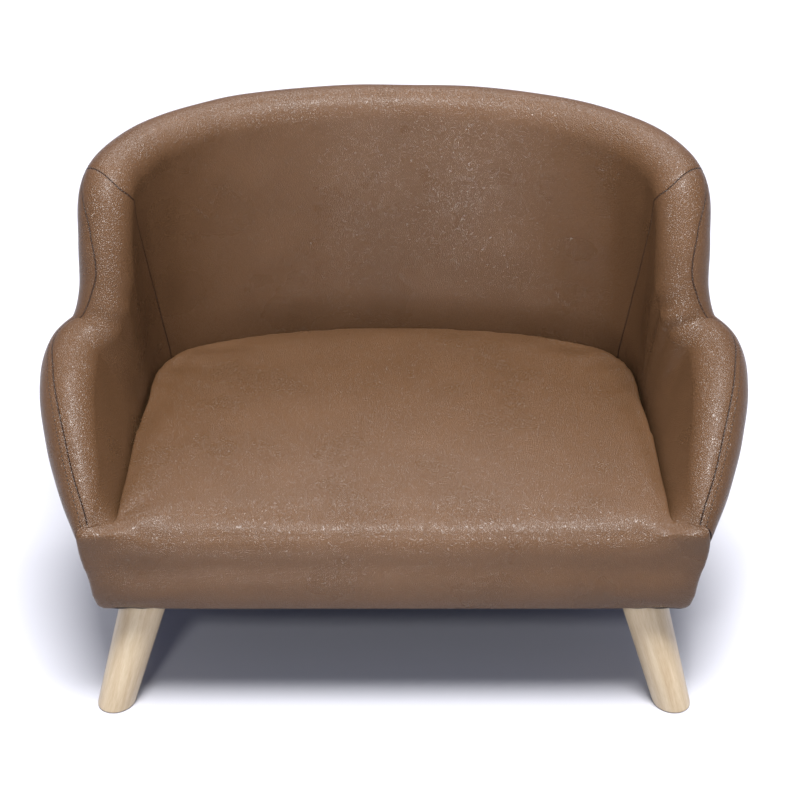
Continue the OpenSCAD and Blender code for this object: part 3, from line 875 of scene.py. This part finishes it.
@dataclass
class Upholstery:
    """The padded wall: inside and outside coverings of the back and of both sides."""

    form: WallForm
    leather: bpy.types.Material
    thread: bpy.types.Material
    seam: Seamed = field(default_factory=Seamed)
    stitching: Stitching = field(default_factory=Stitching)
    uneven: float = 0.55
    fold_height: float = 1.5
    fold_width: float = 0.95
    fold_pitch: float = 0.72
    fold_z: float = 305.0
    fold_depth: float = 52.0
    topstitch: float = 6.5
    topstitch_from: float = 9.2
    wave_length: float = 110.0
    flat_edge: float = 14.0
    samples: int = 420

    def lay(self, panel: Panel, side: Side) -> bpy.types.Object:
        """Makes one panel.

        Args:
            panel: what it is; its grid and normals are filled in.
            side: the side it is on; the back is made as a right-hand one.

        Returns:
            The closed padded piece.
        """
        s = np.linspace(panel.first, panel.last, self.samples)
        outer, inner = self.form.section(panel.face, s)
        place = np.broadcast_to(s[None, :, None], outer.shape[:2] + (1,))
        section = np.linspace(0, 1, len(outer))[:, None, None] * np.ones((1, len(s), 1))
        stack = np.concatenate([outer, inner, place, section], 2)
        columns, down = resample(stack.transpose(1, 0, 2), panel.rows, True, False)
        columns = np.concatenate([columns, down], 2).transpose(1, 0, 2)
        has_front = panel.last > self.form.seam_place + 1
        if has_front:
            columns = trim_front(columns, self.form.front_y)
        grid, across = resample(columns, panel.columns, True, True)
        points, back, place, from_top = grid[..., :3], grid[..., 3:6], grid[..., 6], grid[..., 8]
        if side is Side.LEFT:
            points[..., 0] *= -1
            back[..., 0] *= -1
        normals = face_normals(self.clear_edges(points))
        towards = self.form.middle(place, np.zeros_like(place))
        if side is Side.LEFT:
            towards[..., 0] *= -1
        mid = (panel.rows * 2 // 3, panel.columns // 2)
        if np.dot(normals[mid], points[mid] - towards[mid]) < 0:
            points, back, place = points[:, ::-1], back[:, ::-1], place[:, ::-1]
            across, from_top, normals = across[:, ::-1], from_top[:, ::-1], -normals[:, ::-1]
        beside = np.minimum(across[..., 0], across[..., 1])
        depth = np.maximum(self.seam.depth(from_top), self.seam.depth(beside))
        depth[0] += self.seam.tuck
        depth[:, 0] += self.seam.tuck
        depth[:, -1] += self.seam.tuck
        calm = 1 - np.exp(-((np.minimum(beside, from_top) / self.flat_edge) ** 2))
        seed = 0.7 if side is Side.LEFT else 2.9
        lump = self.uneven * wavy(points * MM, self.wave_length * MM, seed) * calm
        if panel.face is Face.INSIDE and has_front:
            lump = lump + self.folds(place, points[..., 2], side) * calm
        moved = points + (lump - depth)[..., None] * normals
        panel.grid, panel.normals = moved * MM, normals
        piece = shaped_grid(panel.name, moved * MM)
        close_with(piece, back * MM)
        # painted shade: how near each point is to a seam, darkened by the finish
        near = np.exp(-((np.minimum(from_top, beside) / self.seam.shade) ** 2))
        self.paint_seam_shade(piece, near)
        dress(piece, self.leather)
        smooth_shade(piece, 60)
        return piece

    def clear_edges(self, points: np.ndarray) -> np.ndarray:
        """The grid with its doubled edge points pulled just apart, so that every normal is real."""
        out = points.copy()
        out[0] += 0.02 * (points[0] - points[3])
        out[:, 0] += 0.02 * (points[:, 0] - points[:, 3])
        out[:, -1] += 0.02 * (points[:, -1] - points[:, -4])
        return out

    def folds(self, place: np.ndarray, z: np.ndarray, side: Side) -> np.ndarray:
        """Soft folds where the wing drops to the arm, in millimetres."""
        centre, share = (7.3, 1.0) if side is Side.RIGHT else (7.1, 0.55)
        along, above = np.abs(place) - centre, z - self.fold_z
        window = np.exp(-((along / self.fold_width) ** 2))
        window = window * np.exp(-((above / self.fold_depth) ** 2))
        phase = 2 * math.pi * along / self.fold_pitch + (above + 5) / 90
        return self.fold_height * share * window * np.sin(phase)

    def paint_seam_shade(self, piece: bpy.types.Object, near: np.ndarray) -> None:
        """Writes how near each point is to a seam, for the finish to paint shade into the seams."""
        flat = np.zeros(len(piece.data.vertices), np.float32)
        flat[: near.size] = near.reshape(-1)
        attribute = piece.data.attributes.new("seam", "FLOAT", "POINT")
        attribute.data.foreach_set("value", flat)

    def build(self) -> None:
        """Makes every panel of the wall and its sewing."""
        seam, last = self.form.seam_place, self.form.last_place
        back_in = Panel("back_padding", Face.INSIDE, -seam, seam, 250, 118)
        back_out = Panel("outside_back", Face.OUTSIDE, -seam, seam, 250, 128)
        self.finish(self.lay(back_in, Side.RIGHT), 0.5, "inside_back_cover", "back_foam")
        self.finish(self.lay(back_out, Side.RIGHT), 0.2, "outside_back_cover")
        corners: list[tuple[np.ndarray, np.ndarray]] = []
        crests = [self.seam_path(back_in)]
        tops: list[tuple[np.ndarray, np.ndarray]] = []
        for side in (Side.LEFT, Side.RIGHT):
            word = side.name.lower()
            inside = Panel(f"side_padding_{word}", Face.INSIDE, seam, last, 230, 118)
            outside = Panel(f"outside_panel_{word}", Face.OUTSIDE, seam, last, 230, 128)
            self.finish(self.lay(inside, side), 0.5, f"inside_cover_{word}", f"side_foam_{word}")
            self.finish(self.lay(outside, side), 0.2, f"outside_cover_{word}")
            crests.append(self.seam_path(inside))
            corners.append(self.corner_path(inside))
            corners.append(self.corner_path(outside))
            tops.append(self.top_path(outside))
        rows = {"crest_stitches": crests, "corner_stitches": corners, "topstitching": tops}
        for name, lines in rows.items():
            piece = self.stitching.sew(name, lines)
            dress(piece, self.thread)
            place_on(piece, "leather")

    def finish(self, piece: bpy.types.Object, fill: float, *nodes: str) -> None:
        """Seats a padded panel on the sofa."""
        place_on(piece, "leather", *nodes)

    def seam_path(self, panel: Panel) -> tuple[np.ndarray, np.ndarray]:
        """The line of the seam along the crest."""
        normals = panel.normals[2, 2:-2]
        return panel.grid[2, 2:-2] + 0.25 * MM * normals, normals

    def corner_path(self, panel: Panel) -> tuple[np.ndarray, np.ndarray]:
        """The line of the seam between back and side."""
        first, last = panel.grid[panel.rows // 2, [0, -1], 1]
        column = 2 if first > last else -3
        normals = panel.normals[2:, column]
        return panel.grid[2:, column] + 0.25 * MM * normals, normals

    def top_path(self, panel: Panel) -> tuple[np.ndarray, np.ndarray]:
        """A second row of sewing beside the crest seam, along the arm only."""
        grid, normals = panel.grid, panel.normals
        steps = np.linalg.norm(np.diff(grid[2:], axis=0), axis=2)
        length = np.concatenate([np.zeros((1, grid.shape[1])), np.cumsum(steps, 0)])
        path, out = [], []
        for c in range(3, grid.shape[1] - 3):
            k = 2 + int(np.searchsorted(length[:, c], self.topstitch * MM))
            k = min(k, grid.shape[0] - 2)
            before, after = length[k - 3, c], length[k - 2, c]
            f = (self.topstitch * MM - before) / max(after - before, 1e-9)
            f = min(max(f, 0.0), 1.0)
            path.append(grid[k - 1, c] + f * (grid[k, c] - grid[k - 1, c]))
            out.append(normals[k, c])
        line, side = np.array(path), np.array(out)
        begin = self.form.along(self.form.roll_line, np.array([self.topstitch_from]))[0, 1]
        keep = line[:, 1] < begin * MM
        return line[keep] + 0.05 * MM * side[keep], side[keep]


@dataclass
class SeatCushion:
    """The seat: one covering over a slab between the arms, a rolled front and the front face.

    The slab fills the wall's inside as it leans and ends at the crest of each arm. The front face
    is as wide as the arms' front ends, which it closes.
    """

    form: WallForm
    leather: bpy.types.Material
    front_y: float = -236.5
    back_y: float = -222.4
    top_z: float = 212.5
    under_z: float = 181.8
    gap: float = -2.5
    clear: float = 2.3
    roll: float = 30.0
    side_roll: float = 15.0
    corner_lift: float = 7.0
    rim: float = 13.0
    hem: float = 8.0
    front_edge: tuple = (
        (0, 118.6), (120, 118.6), (262, 118.6), (283, 118.8), (289.5, 124), (292.5, 140),
        (295.5, 158), (298.5, 174), (301, 186), (302, 195), (302, 205), (297.5, 212),
        (290, 214.5), (270, 212.5), (0, 212.5))
    top_edge: float = 200.0
    roll_from: float = 225.0
    roll_over: float = 60.0
    side_from: float = 245.0
    side_over: float = 40.0
    corner_from: tuple[float, float] = (262.0, 190.0)
    corner_over: tuple[float, float] = (22.0, 14.0)
    side_points: int = 14
    top_points: int = 40
    rings: int = 90
    voxel: float = 5.5
    uneven: float = 0.4
    wave_length: float = 160.0
    level: float = 0.55
    pressure: float = 4.0
    cap: float = 4.5
    frames: int = 20

    def ring(self, s: float) -> np.ndarray:
        """One loop of the slab across the width, up one side, over the top and down the other.

        Args:
            s: the place along the wall that its sides stand against.

        Returns:
            Points of the loop in millimetres.
        """
        near = np.array([s - 0.02, s, s + 0.02]).clip(0, self.form.last_place)
        outer, _ = self.form.section(Face.INSIDE, near)
        line, beside = outer[:, 1], unit(outer[:, 2] - outer[:, 0])
        along = np.gradient(line, axis=0)
        out = unit(np.cross(along, beside))
        wall = self.form.middle(np.array([s]), np.array([0.0]))[0]
        if np.dot(out[-1], [wall[0], wall[1] + 60, 0]) > 0:
            out = -out
        line = line + self.gap * out
        below = np.flatnonzero(line[:, 2] < self.top_z)
        line = line[below[0]:] if len(below) else line[-1:]
        line[:, 2] = np.maximum(line[:, 2], self.under_z)
        steps = np.concatenate([[0], np.cumsum(np.linalg.norm(np.diff(line, axis=0), axis=1))])
        at = np.linspace(0, steps[-1], self.side_points)
        side = np.stack([np.interp(at, steps, line[:, k]) for k in range(3)], 1)
        top = np.repeat(side[:1], self.top_points, axis=0)
        top[:, 0] *= np.linspace(1, -1, self.top_points + 2)[1:-1]
        top[:, 2] = self.top_z
        return np.vstack([side[::-1], top, side * [-1, 1, 1]])

    def slab(self) -> bpy.types.Object:
        """The part between back and arms, lofted from rings and closed at both ends."""
        loops = [self.ring(s) for s in np.linspace(self.form.last_place, 0.04, self.rings)]
        nose = loops[0] * [1, 0, 1] + [0, self.front_y + 1, 0]
        grid = np.stack([nose, *loops]) * MM
        closed = np.concatenate([grid, grid[:, :1]], axis=1)
        piece = shaped_grid("slab", closed)
        piece.data.attributes.remove(piece.data.attributes["at"])
        with editing():
            bpy.ops.mesh.remove_doubles(threshold=0.00001)
            bpy.ops.mesh.select_all(action="SELECT")
            bpy.ops.mesh.fill_holes(sides=0)
            bpy.ops.mesh.select_all(action="SELECT")
            bpy.ops.mesh.normals_make_consistent(inside=False)
        return piece

    def apron(self) -> bpy.types.Object:
        """The front face and its roll, as a closed block in the outline of the arms' ends."""
        half = np.array(self.front_edge, float)
        outline = np.vstack([half, half[-2:0:-1] * [-1, 1]])
        bpy.ops.object.select_all(action="DESELECT")
        bpy.ops.mesh.primitive_circle_add(vertices=len(outline), radius=0.2, fill_type="NGON")
        piece = bpy.context.active_object
        back = np.full(len(outline), self.back_y)
        set_points(piece, np.column_stack([outline[:, 0], back, outline[:, 1]]) * MM)
        forward = (0, (self.front_y - self.back_y) * MM, 0)
        with editing():
            bpy.ops.mesh.extrude_region_move(TRANSFORM_OT_translate={"value": forward})
            bpy.ops.mesh.select_all(action="SELECT")
            bpy.ops.mesh.normals_make_consistent(inside=False)
        return piece

    @staticmethod
    def round_corner(points: np.ndarray, corner: tuple[float, float], signs: tuple[int, int],
                     radius: np.ndarray) -> None:
        """Turns a square corner seen from the side into a round one.

        Args:
            points: the vertices in millimetres, changed in place.
            corner: where the corner is, in y and z.
            signs: which way it points on each axis.
            radius: its new radius at each vertex.
        """
        dy = (points[:, 1] - corner[0]) * signs[0] + radius
        dz = (points[:, 2] - corner[1]) * signs[1] + radius
        inside = (dy > 0) & (dz > 0)
        scale = np.maximum(dy, dz) / np.maximum(np.hypot(dy, dz), 1e-9)
        points[inside, 1] = (corner[0] + signs[0] * (dy * scale - radius))[inside]
        points[inside, 2] = (corner[1] + signs[1] * (dz * scale - radius))[inside]

    def build(self) -> None:
        """Makes the seat: two blocks remeshed into one pad, rounded, filled and laid in place."""
        slab, apron = self.slab(), self.apron()
        bpy.ops.object.select_all(action="DESELECT")
        apron.select_set(True)
        slab.select_set(True)
        bpy.context.view_layer.objects.active = slab
        bpy.ops.object.join()
        piece = slab
        piece.name = "seat_cushion"
        apply_modifier(piece, "REMESH", mode="VOXEL", voxel_size=self.voxel * MM)
        apply_modifier(piece, "SMOOTH", factor=0.5, iterations=3)
        points = get_points(piece) / MM
        beside = np.clip((np.abs(points[:, 0]) - self.roll_from) / self.roll_over, 0, 1)
        roll = self.roll + (self.side_roll - self.roll) * beside
        hem = np.full(len(points), self.hem)
        self.round_corner(points, (self.front_y, self.top_z), (-1, 1), roll)
        self.round_corner(points, (self.front_y, self.form.box_z + 0.6), (-1, -1), hem)
        set_points(piece, points * MM)
        apply_modifier(piece, "SMOOTH", factor=0.5, iterations=3)
        points = get_points(piece) / MM
        held = self.held(points)
        self.fill(piece, held)
        apply_modifier(piece, "SMOOTH", factor=0.5, iterations=4)
        self.fit(piece, points)
        apply_modifier(piece, "SMOOTH", factor=0.4, iterations=2)
        apply_modifier(piece, "SUBSURF", levels=1, render_levels=1)
        dress(piece, self.leather)
        smooth_shade(piece, 60)
        place_on(piece, "leather", "seat_cover", "seat_foam", "front_foam")

    def widen(self, points: np.ndarray, start: np.ndarray) -> None:
        """Brings the front face back to its outline, which covers the front ends of the arms.

        Args:
            points: the vertices in millimetres, changed in place.
            start: the vertices before the pad was filled.
        """
        front = start[:, 1] < self.back_y
        edge = np.array(self.front_edge[3:-2], float)
        for sign in (-1, 1):
            beside = front & (start[:, 0] * sign > self.side_from)
            x, z = points[:, 0] * sign, points[:, 2]
            want = np.interp(z, edge[:, 1], edge[:, 0])
            heights = np.linspace(z[beside].min(), z[beside].max(), 18)
            reach = [x[beside & (np.abs(z - h) < 4)].max(initial=260.0) for h in heights]
            lacking = want - np.interp(z, heights, reach)
            share = np.clip((x - self.side_from) / self.side_over, 0, 1)
            deep = np.clip((self.back_y - start[:, 1]) / 4, 0, 1)
            points[:, 0] += sign * np.where(front, lacking * eased(share) * deep, 0)
            corner = np.clip((x - self.corner_from[0]) / self.corner_over[0], 0, 1)
            corner = corner * np.clip((z - self.corner_from[1]) / self.corner_over[1], 0, 1)
            points[:, 2] += np.where(start[:, 1] < self.back_y + 6, self.corner_lift * corner, 0)

    def held(self, points: np.ndarray) -> np.ndarray:
        """Which vertices rest on the deck or on the front rail."""
        low = points[:, 2] < self.under_z + 4
        return low & (points[:, 1] > self.back_y - 3.5)

    def fill(self, piece: bpy.types.Object, held: np.ndarray) -> None:
        """Blows the pad up as cloth under pressure, as stuffing does, by a small amount."""
        before = get_points(piece)
        group = piece.vertex_groups.new(name="held")
        group.add(np.flatnonzero(held).tolist(), 1.0, "REPLACE")
        alone(piece)
        cloth = piece.modifiers.new("Cloth", "CLOTH")
        settings = {
            "quality": 5,
            "mass": 0.3,
            "tension_stiffness": 12,
            "compression_stiffness": 12,
            "bending_stiffness": 0.6,
            "vertex_group_mass": "held",
            "use_pressure": True,
            "uniform_pressure_force": self.pressure,
        }
        for key, value in settings.items():
            setattr(cloth.settings, key, value)
        cloth.settings.effector_weights.gravity = 0
        cloth.collision_settings.use_self_collision = False
        cloth.point_cache.frame_start = 1
        cloth.point_cache.frame_end = self.frames
        for number in range(1, self.frames + 1):
            bpy.context.scene.frame_set(number)
        bpy.ops.object.modifier_apply(modifier=cloth.name)
        move = get_points(piece) - before
        size = np.linalg.norm(move, axis=1, keepdims=True) / MM
        share = self.cap * np.tanh(size / self.cap) / np.maximum(size, 1e-9)
        set_points(piece, before + move * share)
        kept = (size * share).max()
        LOG.info("seat filled: moves %.1f mm at most, kept to %.1f mm", size.max(), kept)
        bpy.context.scene.frame_set(1)

    def fit(self, piece: bpy.types.Object, start: np.ndarray) -> None:
        """Keeps the pad clear of the wall, the deck and the front rail.

        Args:
            piece: the filled pad.
            start: its vertices before it was filled, in millimetres.
        """
        points = get_points(piece) / MM
        tree, wall, out = self.inside_of_wall()
        behind = start[:, 1] > self.back_y + 1
        low = ~behind & (start[:, 2] < self.top_edge)
        for i in np.flatnonzero(~low):
            _, k, away = tree.find(points[i])
            height = float(np.dot(points[i] - wall[k], out[k]))
            if away >= self.rim + 2 or height >= self.rim:
                continue
            if height < self.clear:
                points[i] += (self.clear - height) * out[k]
                continue
            snug = height - self.clear
            wanted = self.clear + snug * snug / (self.rim - self.clear)
            high = np.clip((points[i, 2] - self.top_edge + 4) / 8, 0, 1)
            near = high * np.clip((self.rim - height) / 4, 0, 1)
            points[i] += near * (wanted - height) * out[k]
            points[i, 2] += self.level * near * max(self.top_z - points[i, 2], 0.0)
        points[behind, 2] = np.maximum(points[behind, 2], self.under_z)
        points[low, 1] = np.minimum(points[low, 1], self.back_y)
        points[:, 2] = np.maximum(points[:, 2], self.form.box_z + 0.2)
        self.widen(points, start)
        calm = np.clip((points[:, 2] - self.top_edge) / 8, 0, 1)
        points[:, 2] += self.uneven * wavy(points * MM, self.wave_length * MM, 1.3) * calm
        set_points(piece, points * MM)

    def inside_of_wall(self) -> tuple[KDTree, np.ndarray, np.ndarray]:
        """Samples the wall's inside face as far as the front ends of the arms.

        Returns:
            A search tree of the samples, the samples, and the way from each into the seat.
        """
        last = self.form.last_place
        s = np.linspace(-last, last, 521)
        wall, _ = self.form.section(Face.INSIDE, s)
        square = face_normals(wall)
        centre = self.form.middle(s, 0 * s)[None]
        square = np.where(((wall - centre) * square).sum(-1, keepdims=True) > 0, square, -square)
        flat, out = wall.reshape(-1, 3), square.reshape(-1, 3)
        kept = flat[:, 1] >= self.back_y - 1
        flat, out = flat[kept], out[kept]
        tree = KDTree(len(flat))
        for i, point in enumerate(flat):
            tree.insert(point, i)
        tree.balance()
        return tree, flat, out


@dataclass
class Legs:
    """Four turned tapered legs that lean to the corners, cut level at both ends."""

    wood: bpy.types.Material
    top_d: float = 46.0
    foot_d: float = 36.0
    splay: float = 36.0
    height: float = 118.2
    foot_round: float = 2.5
    over: float = 30.0
    front_at: tuple[float, float] = (243.8, -193.8)
    rear_at: tuple[float, float] = (215.8, 95.0)

    def leg(self, name: str, x: float, y: float, sx: int, sy: int) -> bpy.types.Object:
        """Makes one leg.

        Args:
            name: the new object's name.
            x: the middle of its top across the width.
            y: the middle of its top along the depth.
            sx: the side that its foot leans to across the width, -1 or 1.
            sy: the side that its foot leans to along the depth, -1 or 1.

        Returns:
            The leg, with its own grain direction written on it.
        """
        lean = math.atan(self.splay * math.sqrt(2) / self.height)
        long = self.height / math.cos(lean) + 2 * self.over
        slope = (self.top_d - self.foot_d) / (long - 2 * self.over)
        bpy.ops.object.select_all(action="DESELECT")
        bpy.ops.mesh.primitive_cone_add(
            vertices=96, radius1=(self.foot_d - slope * self.over) / 2 * MM,
            radius2=(self.top_d + slope * self.over) / 2 * MM, depth=long * MM,
            location=(0, 0, (long / 2 - self.over) * MM), end_fill_type="NGON")
        piece = bpy.context.active_object
        piece.name = name
        bpy.ops.object.transform_apply(location=True, rotation=True, scale=True)
        axis = Vector((sx * self.splay, sy * self.splay, -self.height)).normalized()
        turn = Vector((0, 0, -1)).rotation_difference(axis)
        foot = Vector(((x + sx * self.splay) * MM, (y + sy * self.splay) * MM, 0))
        points = get_points(piece)
        matrix = np.array(turn.to_matrix())
        set_points(piece, points @ matrix.T + np.array(foot))
        bpy.ops.object.mode_set(mode="EDIT")
        for z, up in ((0.0, -1), (self.height, 1)):
            bpy.ops.mesh.select_all(action="SELECT")
            bpy.ops.mesh.bisect(plane_co=(0, 0, z * MM), plane_no=(0, 0, up), use_fill=True,
                                clear_outer=True)
        bpy.ops.object.mode_set(mode="OBJECT")
        self.soften(piece)
        own = (get_points(piece) - np.array(foot)) @ matrix + np.array([0.37 * sx, 0.61 * sy, 0])
        grain = piece.data.attributes.new("grain", "FLOAT_VECTOR", "POINT")
        grain.data.foreach_set("vector", own.astype(np.float32).reshape(-1))
        dress(piece, self.wood)
        smooth_shade(piece, 50)
        return piece

    def soften(self, piece: bpy.types.Object) -> None:
        """Rounds the edge of the foot."""
        alone(piece)
        mesh = piece.data
        low = [abs(v.co.z) < 1e-5 for v in mesh.vertices]
        bpy.ops.object.mode_set(mode="EDIT")
        bpy.ops.mesh.select_all(action="DESELECT")
        bpy.ops.object.mode_set(mode="OBJECT")
        for edge in mesh.edges:
            edge.select = low[edge.vertices[0]] and low[edge.vertices[1]]
        bpy.ops.object.mode_set(mode="EDIT")
        bpy.ops.mesh.select_mode(type="EDGE")
        bpy.ops.mesh.bevel(offset=self.foot_round * MM, segments=4, profile=0.5)
        bpy.ops.mesh.select_mode(type="VERT")
        bpy.ops.object.mode_set(mode="OBJECT")

    def build(self) -> None:
        """Makes the four legs."""
        for row, (x, y), sy in (("front", self.front_at, -1), ("rear", self.rear_at, 1)):
            for side in (Side.LEFT, Side.RIGHT):
                sx = side.value
                word = f"{row}_{side.name.lower()}"
                piece = self.leg(f"turned_leg_{word}", sx * x, y, sx, sy)
                place_on(piece, "leg_wood", f"leg_{word}")


@dataclass
class Underside:
    """The lining stretched under the seat box, its edge turned in and stapled."""

    form: WallForm
    cloth: bpy.types.Material
    rim: float = 15.0
    front_y: float = -227.0
    front_half: float = 281.0
    z: float = 118.9
    sag: float = 1.6
    hem: float = 11.0
    thick: float = 0.6
    turned_in: float = 12.0
    pucker: float = 0.35
    pucker_pitch: float = 21.0
    corner_place: float = 8.0
    columns: int = 150
    rows: int = 110

    def edges(self, x: np.ndarray) -> tuple[np.ndarray, np.ndarray]:
        """Where the lining starts and ends along the depth, for each place across the width."""
        s = np.linspace(0, self.corner_place, 200)
        rear = self.form.off(s, 0 * s, self.rim + 0 * s)
        s = np.linspace(self.form.last_place, self.corner_place, 200)
        fore = self.form.off(s, 0 * s, self.rim + 0 * s)
        fore_x = np.concatenate([[0, self.front_half], np.maximum.accumulate(fore[:, 0])])
        level = np.maximum(fore[:, 1], self.form.front_y)
        fore_y = np.concatenate([[self.front_y, self.front_y], level])
        rear_x = np.maximum.accumulate(rear[:, 0])
        return np.interp(x, fore_x, fore_y), np.interp(x, rear_x, rear[:, 1])

    def build(self) -> None:
        corner = np.array([self.corner_place])
        widest = self.form.off(corner, np.array([0.0]), np.array([self.rim]))[0, 0] - 0.05
        across = np.linspace(-1, 1, self.columns)
        x = widest * np.sin(across * math.pi / 2 * 0.999)
        front, rear = self.edges(np.abs(x))
        v = np.linspace(0, 1, self.rows)[:, None]
        y = front[None] + v * (rear - front)[None]
        xx = np.broadcast_to(x[None], y.shape)
        inset = np.minimum.reduce([y - front[None], rear[None] - y, widest - np.abs(xx)])
        free = np.clip(inset / 40, 0, 1)
        waves = np.exp(-((inset / 16) ** 2)) * np.cos(2 * math.pi * (xx + y) / self.pucker_pitch)
        z = self.z - self.sag * free**1.5 * (0.75 + 0.25 * np.cos(xx / 48)) + self.pucker * waves
        z -= 0.35 * (1 / (1 + np.exp((inset - self.hem) / 0.8)))
        points = np.stack([xx, y, z], -1) * MM
        piece = shaped_grid("lining", points[:, ::-1])
        piece.data.attributes.remove(piece.data.attributes["at"])
        apply_modifier(piece, "SOLIDIFY", thickness=self.thick * MM, offset=0, use_rim=True)
        dress(piece, self.cloth)
        smooth_shade(piece, 60)
        place_on(piece, "lining_cloth", "dust_cover")


@dataclass
class Carcass:
    """The hidden frame and its fixings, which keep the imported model's own shapes."""

    def build(self) -> None:
        """Gives every kept solid its finish."""
        along = Wood("sawn_pine_along", "#E4C997", "#B98B52", Run.ALONG, band=12.0)
        across = Wood("sawn_pine_across", "#E4C997", "#B98B52", Run.ACROSS, band=12.0)
        upright = Wood("sawn_pine_upright", "#E2C591", "#B5864C", Run.UP, band=12.0)
        veneer = Wood("poplar_plywood", "#DCC39A", "#BF9B68", Run.ACROSS, band=22.0, roughness=0.62)
        zinc = Steel("zinc_plated_steel", "#C4C8CC")
        screw = Steel("yellow_zinc_screw_steel", "#C9B36B", roughness=0.3)
        wire = Steel("galvanised_staple_wire", "#B4B8BC", roughness=0.38)
        sides = ("left", "right")
        corners = [f"{row}_{side}" for row in ("front", "rear") for side in sides]
        finishes = {
            along: [f"side_rail_{s}" for s in sides] + [f"cross_slat_{s}" for s in (*sides, "middle")],
            across: ["front_rail", "rear_rail"] + [f"corner_block_{c}" for c in corners],
            upright: [f"corner_batten_{s}" for s in sides],
            veneer: ["seat_deck", "back_board"] + [f"side_board_{s}" for s in sides],
            zinc: [f"leg_bolt_{c}" for c in corners] + [f"tee_nut_{c}" for c in corners],
            screw: ["deck_screws", "frame_screws", "board_screws"],
            wire: ["dust_cover_staples"],
        }
        for finish, names in finishes.items():
            material = finish.build()
            for name in names:
                node = bpy.data.objects[name]
                if not node.material_slots:
                    node.data.materials.append(material)
                for slot in node.material_slots:
                    slot.material = material
            LOG.info("%s on %s", finish.name, ", ".join(names))


@dataclass(frozen=True)
class SoftBox:
    """One soft light: where it stands, what it faces, its size in metres and its power in watts."""

    name: str
    place: tuple[float, float, float]
    aim: tuple[float, float, float]
    width: float
    height: float
    watts: float
    spread: float = 180.0


@dataclass
class Studio:
    """Pale floor, soft lights and the camera."""

    camera_at: tuple[float, float, float] = (0.006, -1.6235, 1.2673)
    camera_aim: tuple[float, float, float] = (0.006, -0.030, 0.2325)
    lens: float = 83.0
    sky: str = "#D3DAFF"
    sky_strength: float = 0.27
    lights: tuple[SoftBox, ...] = (
        SoftBox("key", (0.2, -0.85, 4.1), (0.0, -0.05, 0.25), 1.8, 1.2, 355.0),
        SoftBox("edge", (-0.5, -2.0, 1.8), (-0.15, -0.23, 0.2), 0.34, 0.22, 14.0),
        SoftBox("low_front", (-0.42, -1.95, 0.12), (0.09, 0.17, 0.6), 0.34, 0.2, 1.3, 32.0),
        SoftBox("backdrop", (0.0, 2.3, 2.8), (0.0, 1.6, 0.0), 3.0, 1.6, 100.0),
    )

    def build(self) -> None:
        """Sets up the floor, the sky, the lights and the camera."""
        bpy.ops.object.select_all(action="DESELECT")
        bpy.ops.mesh.primitive_plane_add(size=14)
        floor = bpy.context.active_object
        floor.name = "floor"
        dress(floor, PaintedFloor().build())
        scene = bpy.context.scene
        world = bpy.data.worlds.new("sky")
        scene.world = world
        world.use_nodes = True
        sky = world.node_tree.nodes["Background"]
        sky.inputs["Color"].default_value = linear(self.sky)
        sky.inputs["Strength"].default_value = self.sky_strength
        for box in self.lights:
            bpy.ops.object.light_add(type="AREA", location=box.place)
            lamp = bpy.context.active_object
            lamp.name = box.name
            lamp.data.shape = "RECTANGLE"
            lamp.data.size = box.width
            lamp.data.size_y = box.height
            lamp.data.energy = box.watts
            lamp.data.spread = math.radians(box.spread)
            way = Vector(box.aim) - Vector(box.place)
            lamp.rotation_euler = way.to_track_quat("-Z", "Y").to_euler()
        bpy.ops.object.camera_add(location=self.camera_at)
        camera = bpy.context.active_object
        way = Vector(self.camera_aim) - Vector(self.camera_at)
        camera.rotation_euler = way.to_track_quat("-Z", "Y").to_euler()
        camera.data.lens = self.lens
        camera.data.sensor_width = 36.0
        scene.camera = camera
        scene.view_settings.view_transform = "Standard"


def main() -> None:
    """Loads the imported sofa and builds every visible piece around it."""
    logging.basicConfig(level=logging.INFO, format="%(name)s: %(message)s", stream=sys.stdout)
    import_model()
    Studio().build()
    form = WallForm()
    leather = Leatherette().build()
    Upholstery(form, leather, Thread().build()).build()
    SeatCushion(form, leather).build()
    legs = Wood("pale_turned_beech", "#CAB89A", "#AF9775", Run.UP, band=7.0, fibre=0.6, roughness=0.42,
                lacquer=0.25, follows="grain")
    Legs(legs.build()).build()
    Underside(form, Spunbond().build()).build()
    Carcass().build()


if __name__ == "__main__":
    main()
